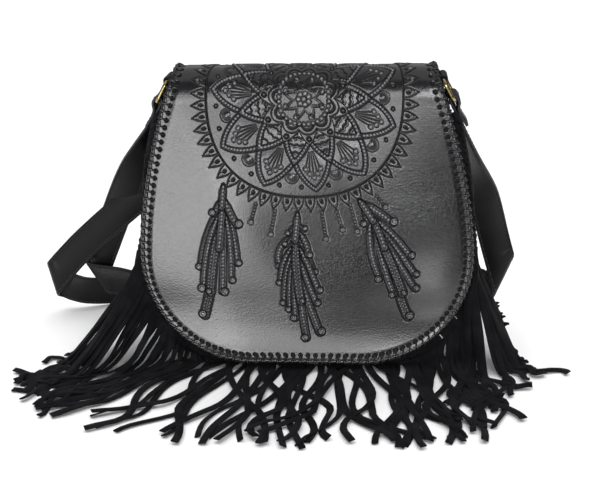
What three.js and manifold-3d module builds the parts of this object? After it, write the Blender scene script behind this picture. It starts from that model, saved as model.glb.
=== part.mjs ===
// A leather crossbody bag: a tooled back and flap cut in one piece and folded over the top, laced round its
// edge, a pouch of front panel and gusset, a suede fringe sewn into the front seam, and a shoulder strap
// on two brass rings. It stands on its base with the fringe spread and the strap dropped behind it.
// Millimetres. X runs to the right, Y to the back, Z up. The origin is the middle of the base, on the floor.
import * as THREE from "three";
import Module from "manifold-3d";
import { mergeVertices } from "three/addons/utils/BufferGeometryUtils.js";

// Outline, seen from the front
const SHEET_WIDTH = 297; // back and flap at their widest, inside the lacing
const TOP_INSET = 35; // how far each side has turned in at the top of the fold
const WIDEST_HEIGHT = 104; // height at which the bag is widest
const BAG_HEIGHT = 270; // top of the fold
const BASE_FLAT = 84; // straight stretch of the outline along the floor
const CORNER_POWER = 2.15; // roundness of the lower corners, 2 is an ellipse
const TAPER_POWER = 1.7; // how late the sides turn in towards the top
const FLAP_BOTTOM = 8.5; // flap's lower edge above the floor
const BACK_BOTTOM = 1.8; // back panel's lower edge above the floor

// Side view
const FOLD_RADIUS = 24; // middle of the leather where it turns over the top
const FRONT_FOOT = 51; // middle of the flap in front of the bag's middle, at the floor
const BACK_FOOT = 41.5; // middle of the back panel behind the bag's middle, at the floor
const FLAP_BULGE = 3.5; // the flap's crown half way up
const EDGE_CURL = 6; // how far the flap's side edges turn back

// Leather and seams
const SHEET_THICK = 2.6;
const PANEL_THICK = 2.2;
const GUSSET_THICK = 2.0;
const PANEL_GAP = 5.4; // free space between flap and front panel
const SEAM_GAP = 0.8; // between the edges that a seam joins
const TOUCH_GAP = 0.3; // between faces that lie on each other
const POUCH_INSET = 5; // front seam inside the flap's edge, at the widest and below
const GUSSET_INSET = 2.2; // gusset's outer face inside the edge that it is sewn to
const PANEL_BELOW_TOP = 34; // front panel's upper edge below the top of the fold
const GUSSET_BELOW_BAR = 14; // gusset's two ends below the ring's upper bar
const GUSSET_DENT = 5; // how far the gusset's sides are drawn in between the seams

// Edge lacing, as the channel that the lace fills
const LACE_THICK = 1.1;
const LACE_REACH = 5.2; // from the leather's edge to the row of holes
const LACE_GAP = 0.35;

// Fringe
const FRINGE_LENGTH = 178;
const STRIP_WIDTH = 6.6;
const SUEDE_THICK = 1.5;
const STRIP_PITCH = 14.5;
const HEADER_WIDTH = 8;
const FRINGE_BELOW_RING = 8.45; // highest point of the header, below the hanging ring
const STRIP_STANDS_OUT = 9; // from the seam before it falls
const FLARE_HEIGHT = 90; // below it the strips flare out
const FLARE = 0.32; // outwards for each millimetre of fall
const SLIDE = 0.24; // backwards above that, for each millimetre of fall, so that strips lie side by side
const CURLED_SHARE = 0.9; // what a curled strip reaches along the floor, of its length there

// Strap, rings and tabs
const STRAP_WIDTH = 30;
const STRAP_THICK = 2.6;
const TURNED_END = 26; // strap end folded round the ring and sewn back
const RING_WIRE = 3.6;
const RING_INNER_WIDTH = 37;
const RING_INNER_HEIGHT = 16.5;
const RING_CORNER = 3.2; // inside the corner
const RING_HANG = 28; // degrees from straight down, outwards
const RING_BELOW_TOP = 12; // upper bar, in the tab, below the top of the fold
const TAB_WIDTH = 27;
const TAB_THICK = 2.0;
const TAB_TAIL = 24; // how far the tab runs down the gusset from the bar

const radians = (degrees) => (degrees * Math.PI) / 180;
const HALF = SHEET_WIDTH / 2;
const LACE_DEPTH = SHEET_THICK / 2 + LACE_GAP + LACE_THICK;
const FOLD_CENTRE = BAG_HEIGHT - FOLD_RADIUS - SHEET_THICK / 2;
const WIRE_RADIUS = RING_WIRE / 2;
const BAR_SPACING = RING_INNER_HEIGHT + RING_WIRE;
const RING_BAR_HEIGHT = BAG_HEIGHT - RING_BELOW_TOP;
const RING_FOOT = RING_BAR_HEIGHT - BAR_SPACING * Math.cos(radians(RING_HANG)) - WIRE_RADIUS;
const TAB_FOOT = RING_BAR_HEIGHT - TAB_TAIL;
const GUSSET_TOP = RING_BAR_HEIGHT - GUSSET_BELOW_BAR;
const PANEL_TOP = BAG_HEIGHT - PANEL_BELOW_TOP;
const FRINGE_START = RING_FOOT - FRINGE_BELOW_RING;
const vec = (x, y, z) => new THREE.Vector3(x, y, z);
const mix = THREE.MathUtils.lerp;

// Half width of an outline of the bag at height z. half is the outline's widest, bottom its lowest point.
function halfWidth(z, half, bottom) {
  if (z <= WIDEST_HEIGHT) {
    const drop = Math.min(1, (WIDEST_HEIGHT - z) / (WIDEST_HEIGHT - bottom));
    const bend = Math.pow(1 - Math.pow(drop, CORNER_POWER), 1 / CORNER_POWER);
    return BASE_FLAT / 2 + (half - BASE_FLAT / 2) * bend;
  }
  const rise = (z - WIDEST_HEIGHT) / (BAG_HEIGHT - WIDEST_HEIGHT);
  return half - TOP_INSET * Math.pow(rise, TAPER_POWER);
}

// Half width of the front seam's outline at height z, less a further inset.
function seamHalfWidth(z, inset, bottom) {
  const share = THREE.MathUtils.clamp((TAB_FOOT - z) / (TAB_FOOT - WIDEST_HEIGHT), 0, 1);
  return halfWidth(z, HALF - POUCH_INSET * share - inset, bottom);
}

// Heights from the outline's bottom up to top: close together round the corner, even above it.
function heights(bottom, top, cornerSteps, sideSteps) {
  const list = [];
  for (let i = 0; i < cornerSteps; i++) {
    const angle = ((i / cornerSteps) * Math.PI) / 2;
    const drop = Math.pow(Math.cos(angle), 2 / CORNER_POWER);
    list.push(WIDEST_HEIGHT - (WIDEST_HEIGHT - bottom) * drop);
  }
  for (let i = 0; i <= sideSteps; i++) list.push(mix(WIDEST_HEIGHT, top, i / sideSteps));
  return list;
}

// Share of the way down from the fold to the floor.
const downShare = (z) => THREE.MathUtils.clamp((FOLD_CENTRE - z) / FOLD_CENTRE, 0, 1);

// Middle of the flap's leather at x and height z.
function flapY(x, z) {
  const down = downShare(z);
  const lean = mix(FOLD_RADIUS, FRONT_FOOT, down) + FLAP_BULGE * Math.sin(Math.PI * down);
  return -lean + EDGE_CURL * Math.pow(Math.abs(x) / HALF, 4) * Math.min(1, 3 * down);
}
const backY = (z) => mix(FOLD_RADIUS, BACK_FOOT, downShare(z));

// Middle of the front panel's leather, which follows the flap.
const panelY = (x, z) => flapY(x, z) + SHEET_THICK / 2 + PANEL_GAP + PANEL_THICK / 2;

// A closed geometry from corner points and quads, turned outwards.
function solidGeometry(points, quads) {
  const corners = quads.flatMap(([a, b, c, d]) => (d === undefined ? [a, b, c] : [a, b, c, a, c, d]));
  let volume = 0;
  for (let i = 0; i < corners.length; i += 3) {
    const [a, b, c] = [points[corners[i]], points[corners[i + 1]], points[corners[i + 2]]];
    volume += a.dot(b.clone().cross(c));
  }
  if (volume < 0) corners.reverse();
  const geometry = new THREE.BufferGeometry().setFromPoints(points);
  geometry.setIndex(corners);
  return geometry;
}

// Unit normals of a grid of points, rows by columns.
function gridNormals(grid) {
  const last = (list) => list.length - 1;
  return grid.map((row, i) =>
    row.map((_, j) => {
      const along = grid[Math.min(i + 1, last(grid))][j].clone().sub(grid[Math.max(i - 1, 0)][j]);
      const across = row[Math.min(j + 1, last(row))].clone().sub(row[Math.max(j - 1, 0)]);
      return along.cross(across).normalize();
    }),
  );
}

// Leather of one thickness whose middle surface is the grid.
function leatherSheet(grid, thick) {
  const normals = gridNormals(grid);
  const rows = grid.length;
  const columns = grid[0].length;
  const points = [];
  for (const side of [1, -1])
    grid.forEach((row, i) =>
      row.forEach((p, j) => points.push(p.clone().addScaledVector(normals[i][j], (side * thick) / 2))),
    );
  const at = (side, i, j) => side * rows * columns + i * columns + j;
  const quads = [];
  for (let i = 0; i + 1 < rows; i++)
    for (let j = 0; j + 1 < columns; j++) {
      quads.push([at(0, i, j), at(0, i + 1, j), at(0, i + 1, j + 1), at(0, i, j + 1)]);
      quads.push([at(1, i, j), at(1, i, j + 1), at(1, i + 1, j + 1), at(1, i + 1, j)]);
    }
  for (let i = 0; i + 1 < rows; i++) {
    quads.push([at(0, i, 0), at(1, i, 0), at(1, i + 1, 0), at(0, i + 1, 0)]);
    const j = columns - 1;
    quads.push([at(0, i, j), at(0, i + 1, j), at(1, i + 1, j), at(1, i, j)]);
  }
  for (let j = 0; j + 1 < columns; j++) {
    quads.push([at(0, 0, j), at(0, 0, j + 1), at(1, 0, j + 1), at(1, 0, j)]);
    const i = rows - 1;
    quads.push([at(0, i, j), at(1, i, j), at(1, i, j + 1), at(0, i, j + 1)]);
  }
  return solidGeometry(points, quads);
}

// A solid through closed sections of equally many points. looped joins the last section to the first.
function loft(sections, looped) {
  const size = sections[0].length;
  const points = sections.flat();
  const quads = [];
  const spans = looped ? sections.length : sections.length - 1;
  for (let i = 0; i < spans; i++) {
    const a = i * size;
    const b = ((i + 1) % sections.length) * size;
    for (let j = 0; j < size; j++) {
      const k = (j + 1) % size;
      quads.push([a + j, b + j, b + k, a + k]);
    }
  }
  if (!looped) {
    const end = (sections.length - 1) * size;
    for (let j = 1; j + 1 < size; j++) {
      quads.push([0, j, j + 1]);
      quads.push([end, end + j + 1, end + j]);
    }
  }
  return solidGeometry(points, quads);
}

// A flat band along stations of middle point p and width direction w. Where a station is slanted, w is the
// slanting line across the band, for a band one wide.
function band(stations, width, thick) {
  const sections = stations.map(({ p, w, slanted }, i) => {
    const before = stations[Math.max(i - 1, 0)].p;
    const after = stations[Math.min(i + 1, stations.length - 1)].p;
    const along = after.clone().sub(before).normalize();
    const side = slanted ? w : w.clone().addScaledVector(along, -w.dot(along)).normalize();
    const face = along.clone().cross(side).normalize();
    const corner = (u, v) =>
      p.clone().addScaledVector(side, (u * width) / 2).addScaledVector(face, (v * thick) / 2);
    return [corner(-1, -1), corner(1, -1), corner(1, 1), corner(-1, 1)];
  });
  return loft(sections, false);
}

// Back and flap: one sheet, from the foot of the back, over the top, to the flap's lower edge.
const SHEET_COLUMNS = [-1, -0.92, -0.72, -0.4, 0, 0.4, 0.72, 0.92, 1];
const FOLD_STEPS = 8;
function sheetGrid() {
  const row = (z, bottom, y) =>
    SHEET_COLUMNS.map((across) => across * halfWidth(z, HALF, bottom)).map((x) => vec(x, y(x), z));
  const back = heights(BACK_BOTTOM, FOLD_CENTRE, 9, 5).map((z) => row(z, BACK_BOTTOM, () => backY(z)));
  const fold = [];
  for (let i = 1; i < FOLD_STEPS; i++) {
    const angle = (i / FOLD_STEPS) * Math.PI;
    const z = FOLD_CENTRE + FOLD_RADIUS * Math.sin(angle);
    fold.push(row(z, FLAP_BOTTOM, () => FOLD_RADIUS * Math.cos(angle)));
  }
  const front = heights(FLAP_BOTTOM, FOLD_CENTRE, 9, 7).reverse();
  return [...back, ...fold, ...front.map((z) => row(z, FLAP_BOTTOM, (x) => flapY(x, z)))];
}

// The lacing fills a channel round the sheet's whole edge. Each station has the edge point, the way out
// of the leather and the leather's normal.
function edgeStations(grid) {
  const normals = gridNormals(grid);
  const lastRow = grid.length - 1;
  const lastColumn = grid[0].length - 1;
  const path = [];
  for (let i = 0; i <= lastRow; i++) path.push([i, lastColumn]);
  for (let j = lastColumn - 1; j >= 0; j--) path.push([lastRow, j]);
  for (let i = lastRow - 1; i >= 0; i--) path.push([i, 0]);
  for (let j = 1; j < lastColumn; j++) path.push([0, j]);
  return path.map(([i, j], k) => {
    const [beforeRow, beforeColumn] = path[(k + path.length - 1) % path.length];
    const [afterRow, afterColumn] = path[(k + 1) % path.length];
    const before = grid[i][j].clone().sub(grid[beforeRow][beforeColumn]).normalize();
    const after = grid[afterRow][afterColumn].clone().sub(grid[i][j]).normalize();
    const normal = normals[i][j];
    const out = before.add(after).cross(normal).normalize();
    return { p: grid[i][j], out, normal };
  });
}

function lacingChannel(grid) {
  const stations = edgeStations(grid);
  const middle = vec(0, 0, WIDEST_HEIGHT);
  const turned = stations[0].out.dot(stations[0].p.clone().sub(middle)) < 0 ? -1 : 1;
  const inner = SHEET_THICK / 2 + LACE_GAP;
  const outer = inner + LACE_THICK;
  const profile = [
    [-LACE_REACH, outer],
    [LACE_GAP, outer],
    [LACE_GAP + LACE_THICK, outer * 0.5],
    [LACE_GAP + LACE_THICK, -outer * 0.5],
    [LACE_GAP, -outer],
    [-LACE_REACH, -outer],
    [-LACE_REACH, -inner],
    [LACE_GAP, -inner],
    [LACE_GAP, inner],
    [-LACE_REACH, inner],
  ];
  const sections = stations.map(({ p, out, normal }) =>
    profile.map(([u, v]) => p.clone().addScaledVector(out, turned * u).addScaledVector(normal, v)),
  );
  return loft(sections, true);
}

function frontPanelGrid() {
  const columns = [-1, -0.9, -0.6, -0.3, 0, 0.3, 0.6, 0.9, 1];
  return heights(TOUCH_GAP, PANEL_TOP, 9, 8).map((z) =>
    columns
      .map((across) => across * seamHalfWidth(z, TOUCH_GAP, TOUCH_GAP))
      .map((x) => vec(x, panelY(x, z), z)),
  );
}

// Points [x, z] of an outline from its left end at height top, round the base, to its right end.
function pouchOutline(width, bottom, top, cornerSteps, sideSteps) {
  const right = heights(bottom, top, cornerSteps, sideSteps).map((z) => [width(z), z]);
  const left = right.map(([x, z]) => [-x, z]).reverse();
  const base = [-0.5, 0, 0.5].map((share) => [(share * BASE_FLAT) / 2, bottom]);
  return [...left, ...base, ...right];
}

// Gusset: the band that makes the pouch's sides and base. Its base face lies on the floor.
function gussetGrid() {
  const middle = GUSSET_THICK / 2;
  const inset = GUSSET_INSET + middle;
  const frontWidth = (z) => seamHalfWidth(z, inset, middle);
  const backWidth = (z) => halfWidth(z, HALF - inset, middle);
  const front = pouchOutline(frontWidth, middle, GUSSET_TOP, 8, 5);
  const back = pouchOutline(backWidth, middle, GUSSET_TOP, 8, 5);
  return front.map(([x, z], k) => {
    const frontY = panelY(x, z) + PANEL_THICK / 2 + SEAM_GAP;
    const backEnd = backY(z) - LACE_DEPTH - SEAM_GAP;
    const climb = THREE.MathUtils.clamp((z - middle) / (TAB_FOOT - middle), 0, 1);
    const dent = GUSSET_DENT * Math.sin(Math.PI * climb) * Math.sign(x);
    return [0, 0.25, 0.5, 0.75, 1].map((share) =>
      vec(mix(x, back[k][0], share) - dent * Math.sin(Math.PI * share), mix(frontY, backEnd, share), z),
    );
  });
}

// How the strips fall. seam is the share along the seam from its left end; turn is the way that a strip
// falls there, in degrees from straight to the front, to the right; lean is how far it goes outwards
// above the flare, for each millimetre of fall.
const FAN = [
  { seam: 0, turn: -128, lean: 0 },
  { seam: 0.1, turn: -116, lean: 0 },
  { seam: 0.2, turn: -90, lean: 0 },
  { seam: 0.27, turn: -58, lean: 0 },
  { seam: 0.33, turn: -38, lean: 0 },
  { seam: 0.4, turn: -17, lean: 0 },
  { seam: 0.5, turn: 0, lean: 0 },
  { seam: 0.6, turn: 7, lean: 0 },
  { seam: 0.67, turn: 15, lean: 0 },
  { seam: 0.73, turn: 32, lean: 0.1 },
  { seam: 0.8, turn: 75, lean: 0.14 },
  { seam: 0.9, turn: 106, lean: 0.1 },
  { seam: 1, turn: 126, lean: 0.08 },
];
function fanAt(seam) {
  const next = Math.max(1, FAN.findIndex((row) => row.seam >= seam));
  const [a, b] = [FAN[next - 1], FAN[next]];
  const share = (seam - a.seam) / (b.seam - a.seam);
  return { turn: radians(mix(a.turn, b.turn, share)), lean: mix(a.lean, b.lean, share) };
}

// One suede strip from seam point root: out of the seam, down the bag's side, and along the floor if it is
// long enough. tangent runs along the seam and out points out of it.
function stripStations(root, tangent, out, { turn, lean }) {
  const way = vec(Math.sin(turn), -Math.cos(turn), 0);
  const level = vec(-way.y, way.x, 0);
  const floor = SUEDE_THICK / 2 + TOUCH_GAP;
  const bend = root.clone().addScaledVector(out, STRIP_STANDS_OUT);
  bend.z = Math.max(bend.z, floor);
  const length = FRINGE_LENGTH - STRIP_STANDS_OUT;
  const low = Math.max(floor, bend.z - 0.97 * length);
  const flareTop = Math.min(bend.z, FLARE_HEIGHT);
  const ahead = (z) =>
    SUEDE_THICK + lean * (bend.z - Math.max(z, flareTop)) + FLARE * (flareTop - Math.min(z, flareTop));
  const beside = (z) => {
    const side = seamHalfWidth(Math.max(z, WIDEST_HEIGHT), -2 * SUEDE_THICK, 0);
    return bend.z > WIDEST_HEIGHT ? Math.max(Math.abs(bend.x), side) : Math.abs(bend.x);
  };
  const clear = bend.z > FLARE_HEIGHT ? (Math.abs(level.y) * STRIP_WIDTH) / 2 : 0;
  const place = (z, further) => {
    const slide = clear + SLIDE * (bend.z - Math.max(z, flareTop));
    const p = vec(Math.sign(bend.x) * beside(z), bend.y + slide, z);
    return p.addScaledVector(way, ahead(z) + further);
  };
  const fallen = (share) => mix(bend.z, low, share);
  const left = length - Math.hypot(bend.z - low, ahead(low));
  const lying = Math.max(0, left) * CURLED_SHARE;
  const stations = [
    { p: root, w: tangent },
    { p: bend, w: tangent },
  ];
  if (bend.z - low > STRIP_WIDTH) {
    stations.push({ p: place(fallen(0.3), 0), w: tangent.clone().lerp(level, 0.7) });
    stations.push({ p: place(fallen(0.65), 0), w: level });
    stations.push({ p: place(fallen(0.9), 0), w: level });
  }
  stations.push({ p: place(low, 0.12 * lying), w: level });
  if (lying > 2 * STRIP_WIDTH) stations.push({ p: place(low, 0.6 * lying), w: level });
  stations.push({ p: place(low, Math.max(lying, STRIP_WIDTH / 2)), w: level });
  return stations;
}

// Header and strips, joined into one solid.
function fringeGeometry(wasm) {
  const toManifold = (geometry) => {
    const merged = mergeVertices(geometry, 1e-4);
    const mesh = new wasm.Mesh({
      numProp: 3,
      vertProperties: merged.attributes.position.array,
      triVerts: new Uint32Array(merged.index.array),
    });
    return new wasm.Manifold(mesh);
  };
  const bottom = SUEDE_THICK;
  const outline = pouchOutline((z) => seamHalfWidth(z, 0, bottom), bottom, FRINGE_START, 9, 8);
  const normalAt = (k) => {
    const [x0, z0] = outline[Math.max(k - 1, 0)];
    const [x1, z1] = outline[Math.min(k + 1, outline.length - 1)];
    return [-(z1 - z0), x1 - x0].map((value) => value / Math.hypot(x1 - x0, z1 - z0));
  };
  const headerY = (x, z) => panelY(x, z) - PANEL_THICK / 2 - SEAM_GAP - SUEDE_THICK / 2;
  const header = outline.map(([x, z], k) => {
    const [inX, inZ] = normalAt(k);
    const point = (inset) => {
      const [px, pz] = [x + inX * inset, z + inZ * inset];
      return vec(px, headerY(px, pz), pz);
    };
    return [point(0), point(HEADER_WIDTH)];
  });
  let solid = toManifold(leatherSheet(header, SUEDE_THICK));
  const lengths = [0];
  header.forEach(([p], k) => k && lengths.push(lengths[k - 1] + p.distanceTo(header[k - 1][0])));
  const total = lengths[lengths.length - 1];
  const count = Math.round(total / STRIP_PITCH);
  for (let n = 0; n < count; n++) {
    const along = ((n + 0.5) / count) * total;
    const k = Math.max(1, lengths.findIndex((length) => length >= along));
    const share = (along - lengths[k - 1]) / (lengths[k] - lengths[k - 1]);
    const tangent = header[k][0].clone().sub(header[k - 1][0]).normalize();
    const edge = header[k - 1][0].clone().lerp(header[k][0], share);
    const inner = header[k - 1][1].clone().lerp(header[k][1], share);
    const out = edge.clone().sub(inner).normalize();
    const stations = stripStations(edge.lerp(inner, 0.3), tangent, out, fanAt(along / total));
    solid = solid.add(toManifold(band(stations, STRIP_WIDTH, SUEDE_THICK)));
  }
  const floor = new THREE.BoxGeometry(4 * SHEET_WIDTH, 4 * SHEET_WIDTH, SHEET_WIDTH);
  floor.deleteAttribute("normal");
  floor.deleteAttribute("uv");
  floor.translate(0, 0, -SHEET_WIDTH / 2);
  solid = solid.subtract(toManifold(floor));
  const { vertProperties, triVerts } = solid.getMesh();
  const geometry = new THREE.BufferGeometry();
  geometry.setAttribute("position", new THREE.BufferAttribute(vertProperties, 3));
  geometry.setIndex(new THREE.BufferAttribute(triVerts, 1));
  return geometry;
}

// Brass ring: side is 1 for the right one. It hangs outwards from its upper bar, in the tab.
const hang = vec(Math.sin(radians(RING_HANG)), 0, -Math.cos(radians(RING_HANG)));
const tabReach = WIRE_RADIUS + TOUCH_GAP + TAB_THICK;
const gussetSide = (z) => halfWidth(z, HALF - GUSSET_INSET, 0);
const laceSide = halfWidth(RING_BAR_HEIGHT, HALF, 0) + LACE_GAP + LACE_THICK;
const upperBar = vec(laceSide + TOUCH_GAP + WIRE_RADIUS, 0, RING_BAR_HEIGHT);
const lowerBar = upperBar.clone().addScaledVector(hang, BAR_SPACING);
const mirrored = (v, side) => vec(side * v.x, v.y, v.z);

function ringGeometry(side) {
  const corner = RING_CORNER + WIRE_RADIUS;
  const straight = RING_INNER_WIDTH / 2 + WIRE_RADIUS - corner;
  const drop = BAR_SPACING - 2 * corner;
  const cornerSteps = 4;
  const sections = [];
  const centres = [
    [straight, corner],
    [-straight, corner],
    [-straight, corner + drop],
    [straight, corner + drop],
  ];
  const down = mirrored(hang, side);
  centres.forEach(([y, fall], quarter) => {
    for (let i = 0; i <= cornerSteps; i++) {
      const angle = (quarter + i / cornerSteps) * (Math.PI / 2);
      const out = vec(0, Math.cos(angle), 0).addScaledVector(down, -Math.sin(angle));
      const centre = mirrored(upperBar, side).add(vec(0, y, 0)).addScaledVector(down, fall);
      centre.addScaledVector(out, corner);
      const along = vec(0, -Math.sin(angle), 0).addScaledVector(down, -Math.cos(angle));
      const flat = along.cross(out).normalize();
      const wire = [];
      for (let s = 0; s < 8; s++) {
        const turn = (s / 8) * 2 * Math.PI;
        const spoke = out.clone().multiplyScalar(Math.cos(turn)).addScaledVector(flat, Math.sin(turn));
        wire.push(centre.clone().addScaledVector(spoke, WIRE_RADIUS));
      }
      sections.push(wire);
    }
  });
  return loft(sections, true);
}

// Tab: a leather loop round the ring's upper bar, with its tail down the gusset's outer face.
function tabGeometry(side) {
  const foot = TAB_FOOT;
  const tail = TAB_THICK;
  const inner = (z) => gussetSide(z) + TOUCH_GAP;
  const shape = new THREE.Shape();
  shape.moveTo(inner(foot), foot);
  shape.lineTo(inner(foot) + tail, foot);
  shape.lineTo(upperBar.x + tabReach * 0.9, RING_BAR_HEIGHT - tabReach);
  shape.absarc(upperBar.x, RING_BAR_HEIGHT, tabReach, -0.2, Math.PI, false);
  shape.lineTo(inner(GUSSET_TOP), GUSSET_TOP);
  shape.lineTo(inner(mix(foot, GUSSET_TOP, 0.5)), mix(foot, GUSSET_TOP, 0.5));
  const eye = new THREE.Path();
  eye.absarc(upperBar.x, RING_BAR_HEIGHT, WIRE_RADIUS + TOUCH_GAP, 0, 2 * Math.PI, true);
  shape.holes.push(eye);
  const geometry = new THREE.ExtrudeGeometry(shape, {
    depth: TAB_WIDTH,
    bevelEnabled: false,
    curveSegments: 10,
  });
  geometry.translate(0, 0, -TAB_WIDTH / 2);
  geometry.rotateX(Math.PI / 2);
  if (side < 0) geometry.rotateZ(Math.PI);
  return geometry;
}

// Folds of the strap behind the bag, from its left ring to its right one: where the strap enters the fold,
// its way before and after in degrees in the XZ plane, and which way in Y it turns over, 0 where it only
// passes. x is a share of half the bag's width. y, measured back from the back panel's foot, and z are
// shares of the strap's width.
const FOLDS = [
  { x: -1.522, y: 1.5, z: 1.53, before: 247, after: 353, turnsTo: -1 },
  { x: -0.85, y: 1.1, z: 0.62, before: 0, after: 90, turnsTo: -1 },
  { x: -0.82, y: -0.1, z: 5.55, before: 90, after: 223, turnsTo: 1 },
  { x: -1.803, y: 1.1, z: 1.32, before: 228, after: 336, turnsTo: 1 },
  { x: -1.3, y: 1.933, z: 0.52, before: 0, after: 0, turnsTo: 0 },
  { x: 0.7, y: 1.667, z: 0.52, before: 0, after: 0, turnsTo: 0 },
  { x: 1.202, y: 1.3, z: 1.133, before: 29, after: 106, turnsTo: -1 },
];
const STRAP_FOLD_STEPS = 6;
const STRAP_BEND = 5; // radius of the strap's folds, to its middle

// Heading and width direction of the strap in the XZ plane. face is 1 or -1 and changes at each fold.
const heading = (degrees) => vec(Math.cos(radians(degrees)), 0, Math.sin(radians(degrees)));
const widthWay = (degrees, face) =>
  vec(-face * Math.sin(radians(degrees)), 0, face * Math.cos(radians(degrees)));

// Stations of a band that turns over round an axis in its own plane, as a folded strip of leather does.
// Its sections in the bend lie along the axis; before and after it they are square to the band.
function foldOver(start, t, w, axis, toward, radius, steps) {
  const lead = t.dot(axis);
  const across = t.clone().addScaledVector(axis, -lead);
  const reach = across.length();
  const ahead = across.normalize();
  const slant = axis.clone().multiplyScalar(Math.sign(w.dot(axis)) / reach);
  const bend = [];
  for (let i = 0; i <= steps; i++) {
    const angle = (i / steps) * Math.PI;
    const p = start
      .clone()
      .addScaledVector(ahead, radius * Math.sin(angle))
      .addScaledVector(toward, radius * (1 - Math.cos(angle)))
      .addScaledVector(axis, (lead * radius * angle) / reach);
    bend.push({ p, w: slant, slanted: true });
  }
  const margin = (Math.abs(lead) / reach + 0.2) * (STRAP_WIDTH / 2);
  const turned = (v) => v.clone().addScaledVector(ahead, -2 * v.dot(ahead));
  const before = { p: start.clone().addScaledVector(t, -margin), t, w };
  const end = bend[bend.length - 1].p;
  const after = { p: end.clone().addScaledVector(turned(t), margin), t: turned(t), w: turned(w) };
  return [before, ...bend, after];
}

// Stations between two others: a smooth run whose width direction turns evenly.
function run(from, to, steps, ease) {
  const reach = from.p.distanceTo(to.p) * ease;
  const stations = [];
  for (let i = 1; i < steps; i++) {
    const s = i / steps;
    const [a, b] = [2 * s ** 3 - 3 * s ** 2 + 1, s ** 3 - 2 * s ** 2 + s];
    const [c, d] = [-2 * s ** 3 + 3 * s ** 2, s ** 3 - s ** 2];
    const p = from.p.clone().multiplyScalar(a).addScaledVector(from.t, b * reach);
    p.addScaledVector(to.p, c).addScaledVector(to.t, d * reach);
    stations.push({ p, w: from.w.clone().lerp(to.w, s * s * (3 - 2 * s)) });
  }
  return stations;
}

// The strap's end round a ring's lower bar: up the turned end, over the bar, and down. side is 1 on the right.
function strapEnd(side) {
  const down = mirrored(hang, side);
  const out = vec(side * Math.cos(radians(RING_HANG)), 0, Math.sin(radians(RING_HANG)));
  const radius = WIRE_RADIUS + TOUCH_GAP + STRAP_THICK / 2;
  const bar = mirrored(lowerBar, side);
  const top = bar.clone().addScaledVector(out, radius);
  const w = vec(0, side < 0 ? 1 : -1, 0);
  const close = STRAP_THICK + 2 * TOUCH_GAP - radius;
  const tip = bar.clone().addScaledVector(down, TURNED_END).addScaledVector(out, close);
  const knee = bar.clone().addScaledVector(down, 0.35 * TURNED_END).addScaledVector(out, close);
  const up = down.clone().negate();
  const over = foldOver(top, up, w, vec(0, 1, 0), out.clone().negate(), radius, 6);
  return [{ p: tip, w }, { p: knee, w }, ...over];
}

function strapStations() {
  const left = strapEnd(-1);
  const right = strapEnd(1).reverse();
  right.forEach((station) => station.t && station.t.negate());
  const stations = [...left];
  let last = left[left.length - 1];
  let face = 1;
  FOLDS.forEach((fold, k) => {
    const start = vec(fold.x * HALF, BACK_FOOT + fold.y * STRAP_WIDTH, fold.z * STRAP_WIDTH);
    const [before, after] = [heading(fold.before), heading(fold.after)];
    const w = widthWay(fold.before, face);
    const crease = before.clone().add(after).normalize();
    const toward = vec(0, fold.turnsTo, 0);
    const over = fold.turnsTo
      ? foldOver(start, before, w, crease, toward, STRAP_BEND, STRAP_FOLD_STEPS)
      : [{ p: start, t: before, w }];
    stations.push(...run(last, over[0], k ? 5 : 9, 0.9), ...over);
    last = over[over.length - 1];
    if (fold.turnsTo) face = -face;
  });
  stations.push(...run(last, right[0], 9, 0.9), ...right);
  return stations;
}

const leather = (colour, roughness) =>
  new THREE.MeshStandardMaterial({ color: colour, roughness, metalness: 0 });
const tooledLeather = leather(0x1b1b1e, 0.38);
const plainLeather = leather(0x17171a, 0.5);
const suede = leather(0x0c0c0f, 0.95);
const brass = new THREE.MeshStandardMaterial({ color: 0xb59a55, roughness: 0.3, metalness: 1 });

const bag = new THREE.Group();
function add(name, geometry, material) {
  const mesh = new THREE.Mesh(geometry, material);
  mesh.name = name;
  bag.add(mesh);
}

const wasm = await Module();
wasm.setup();

const grid = sheetGrid();
add("back_and_flap", leatherSheet(grid, SHEET_THICK), tooledLeather);
add("edge_lacing", lacingChannel(grid), tooledLeather);
add("front_panel", leatherSheet(frontPanelGrid(), PANEL_THICK), plainLeather);
add("gusset", leatherSheet(gussetGrid(), GUSSET_THICK), plainLeather);
add("fringe", fringeGeometry(wasm), suede);
add("strap", band(strapStations(), STRAP_WIDTH, STRAP_THICK), plainLeather);
for (const [name, side] of [
  ["left", -1],
  ["right", 1],
]) {
  add("ring_" + name, ringGeometry(side), brass);
  add("ring_tab_" + name, tabGeometry(side), plainLeather);
}

export default bag;
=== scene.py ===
"""Looks of a black leather crossbody bag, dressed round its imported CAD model.

A tooled back and flap with a laced edge, a soft pouch, a suede fringe, a strap on brass rings, and a pale
studio stage. Shapes are worked out in millimetres and put into meshes in metres.
"""

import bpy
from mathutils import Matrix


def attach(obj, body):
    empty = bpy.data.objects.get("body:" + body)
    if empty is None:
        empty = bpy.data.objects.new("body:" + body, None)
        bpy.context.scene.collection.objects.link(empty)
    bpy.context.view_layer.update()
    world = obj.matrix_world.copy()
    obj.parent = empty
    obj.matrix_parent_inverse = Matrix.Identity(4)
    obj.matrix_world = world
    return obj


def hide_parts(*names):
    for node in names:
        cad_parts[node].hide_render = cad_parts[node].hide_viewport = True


bl_info = {
    "name": "Tooled crossbody bag",
    "version": (1, 0, 0),
    "blender": (4, 5, 0),
    "location": "View3D > Sidebar > Bag",
    "description": "Builds the leather, lacing, fringe, strap and fittings of a tooled crossbody bag",
    "category": "Object",
}

import math

import bpy
import numpy as np
from mathutils import Matrix

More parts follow.
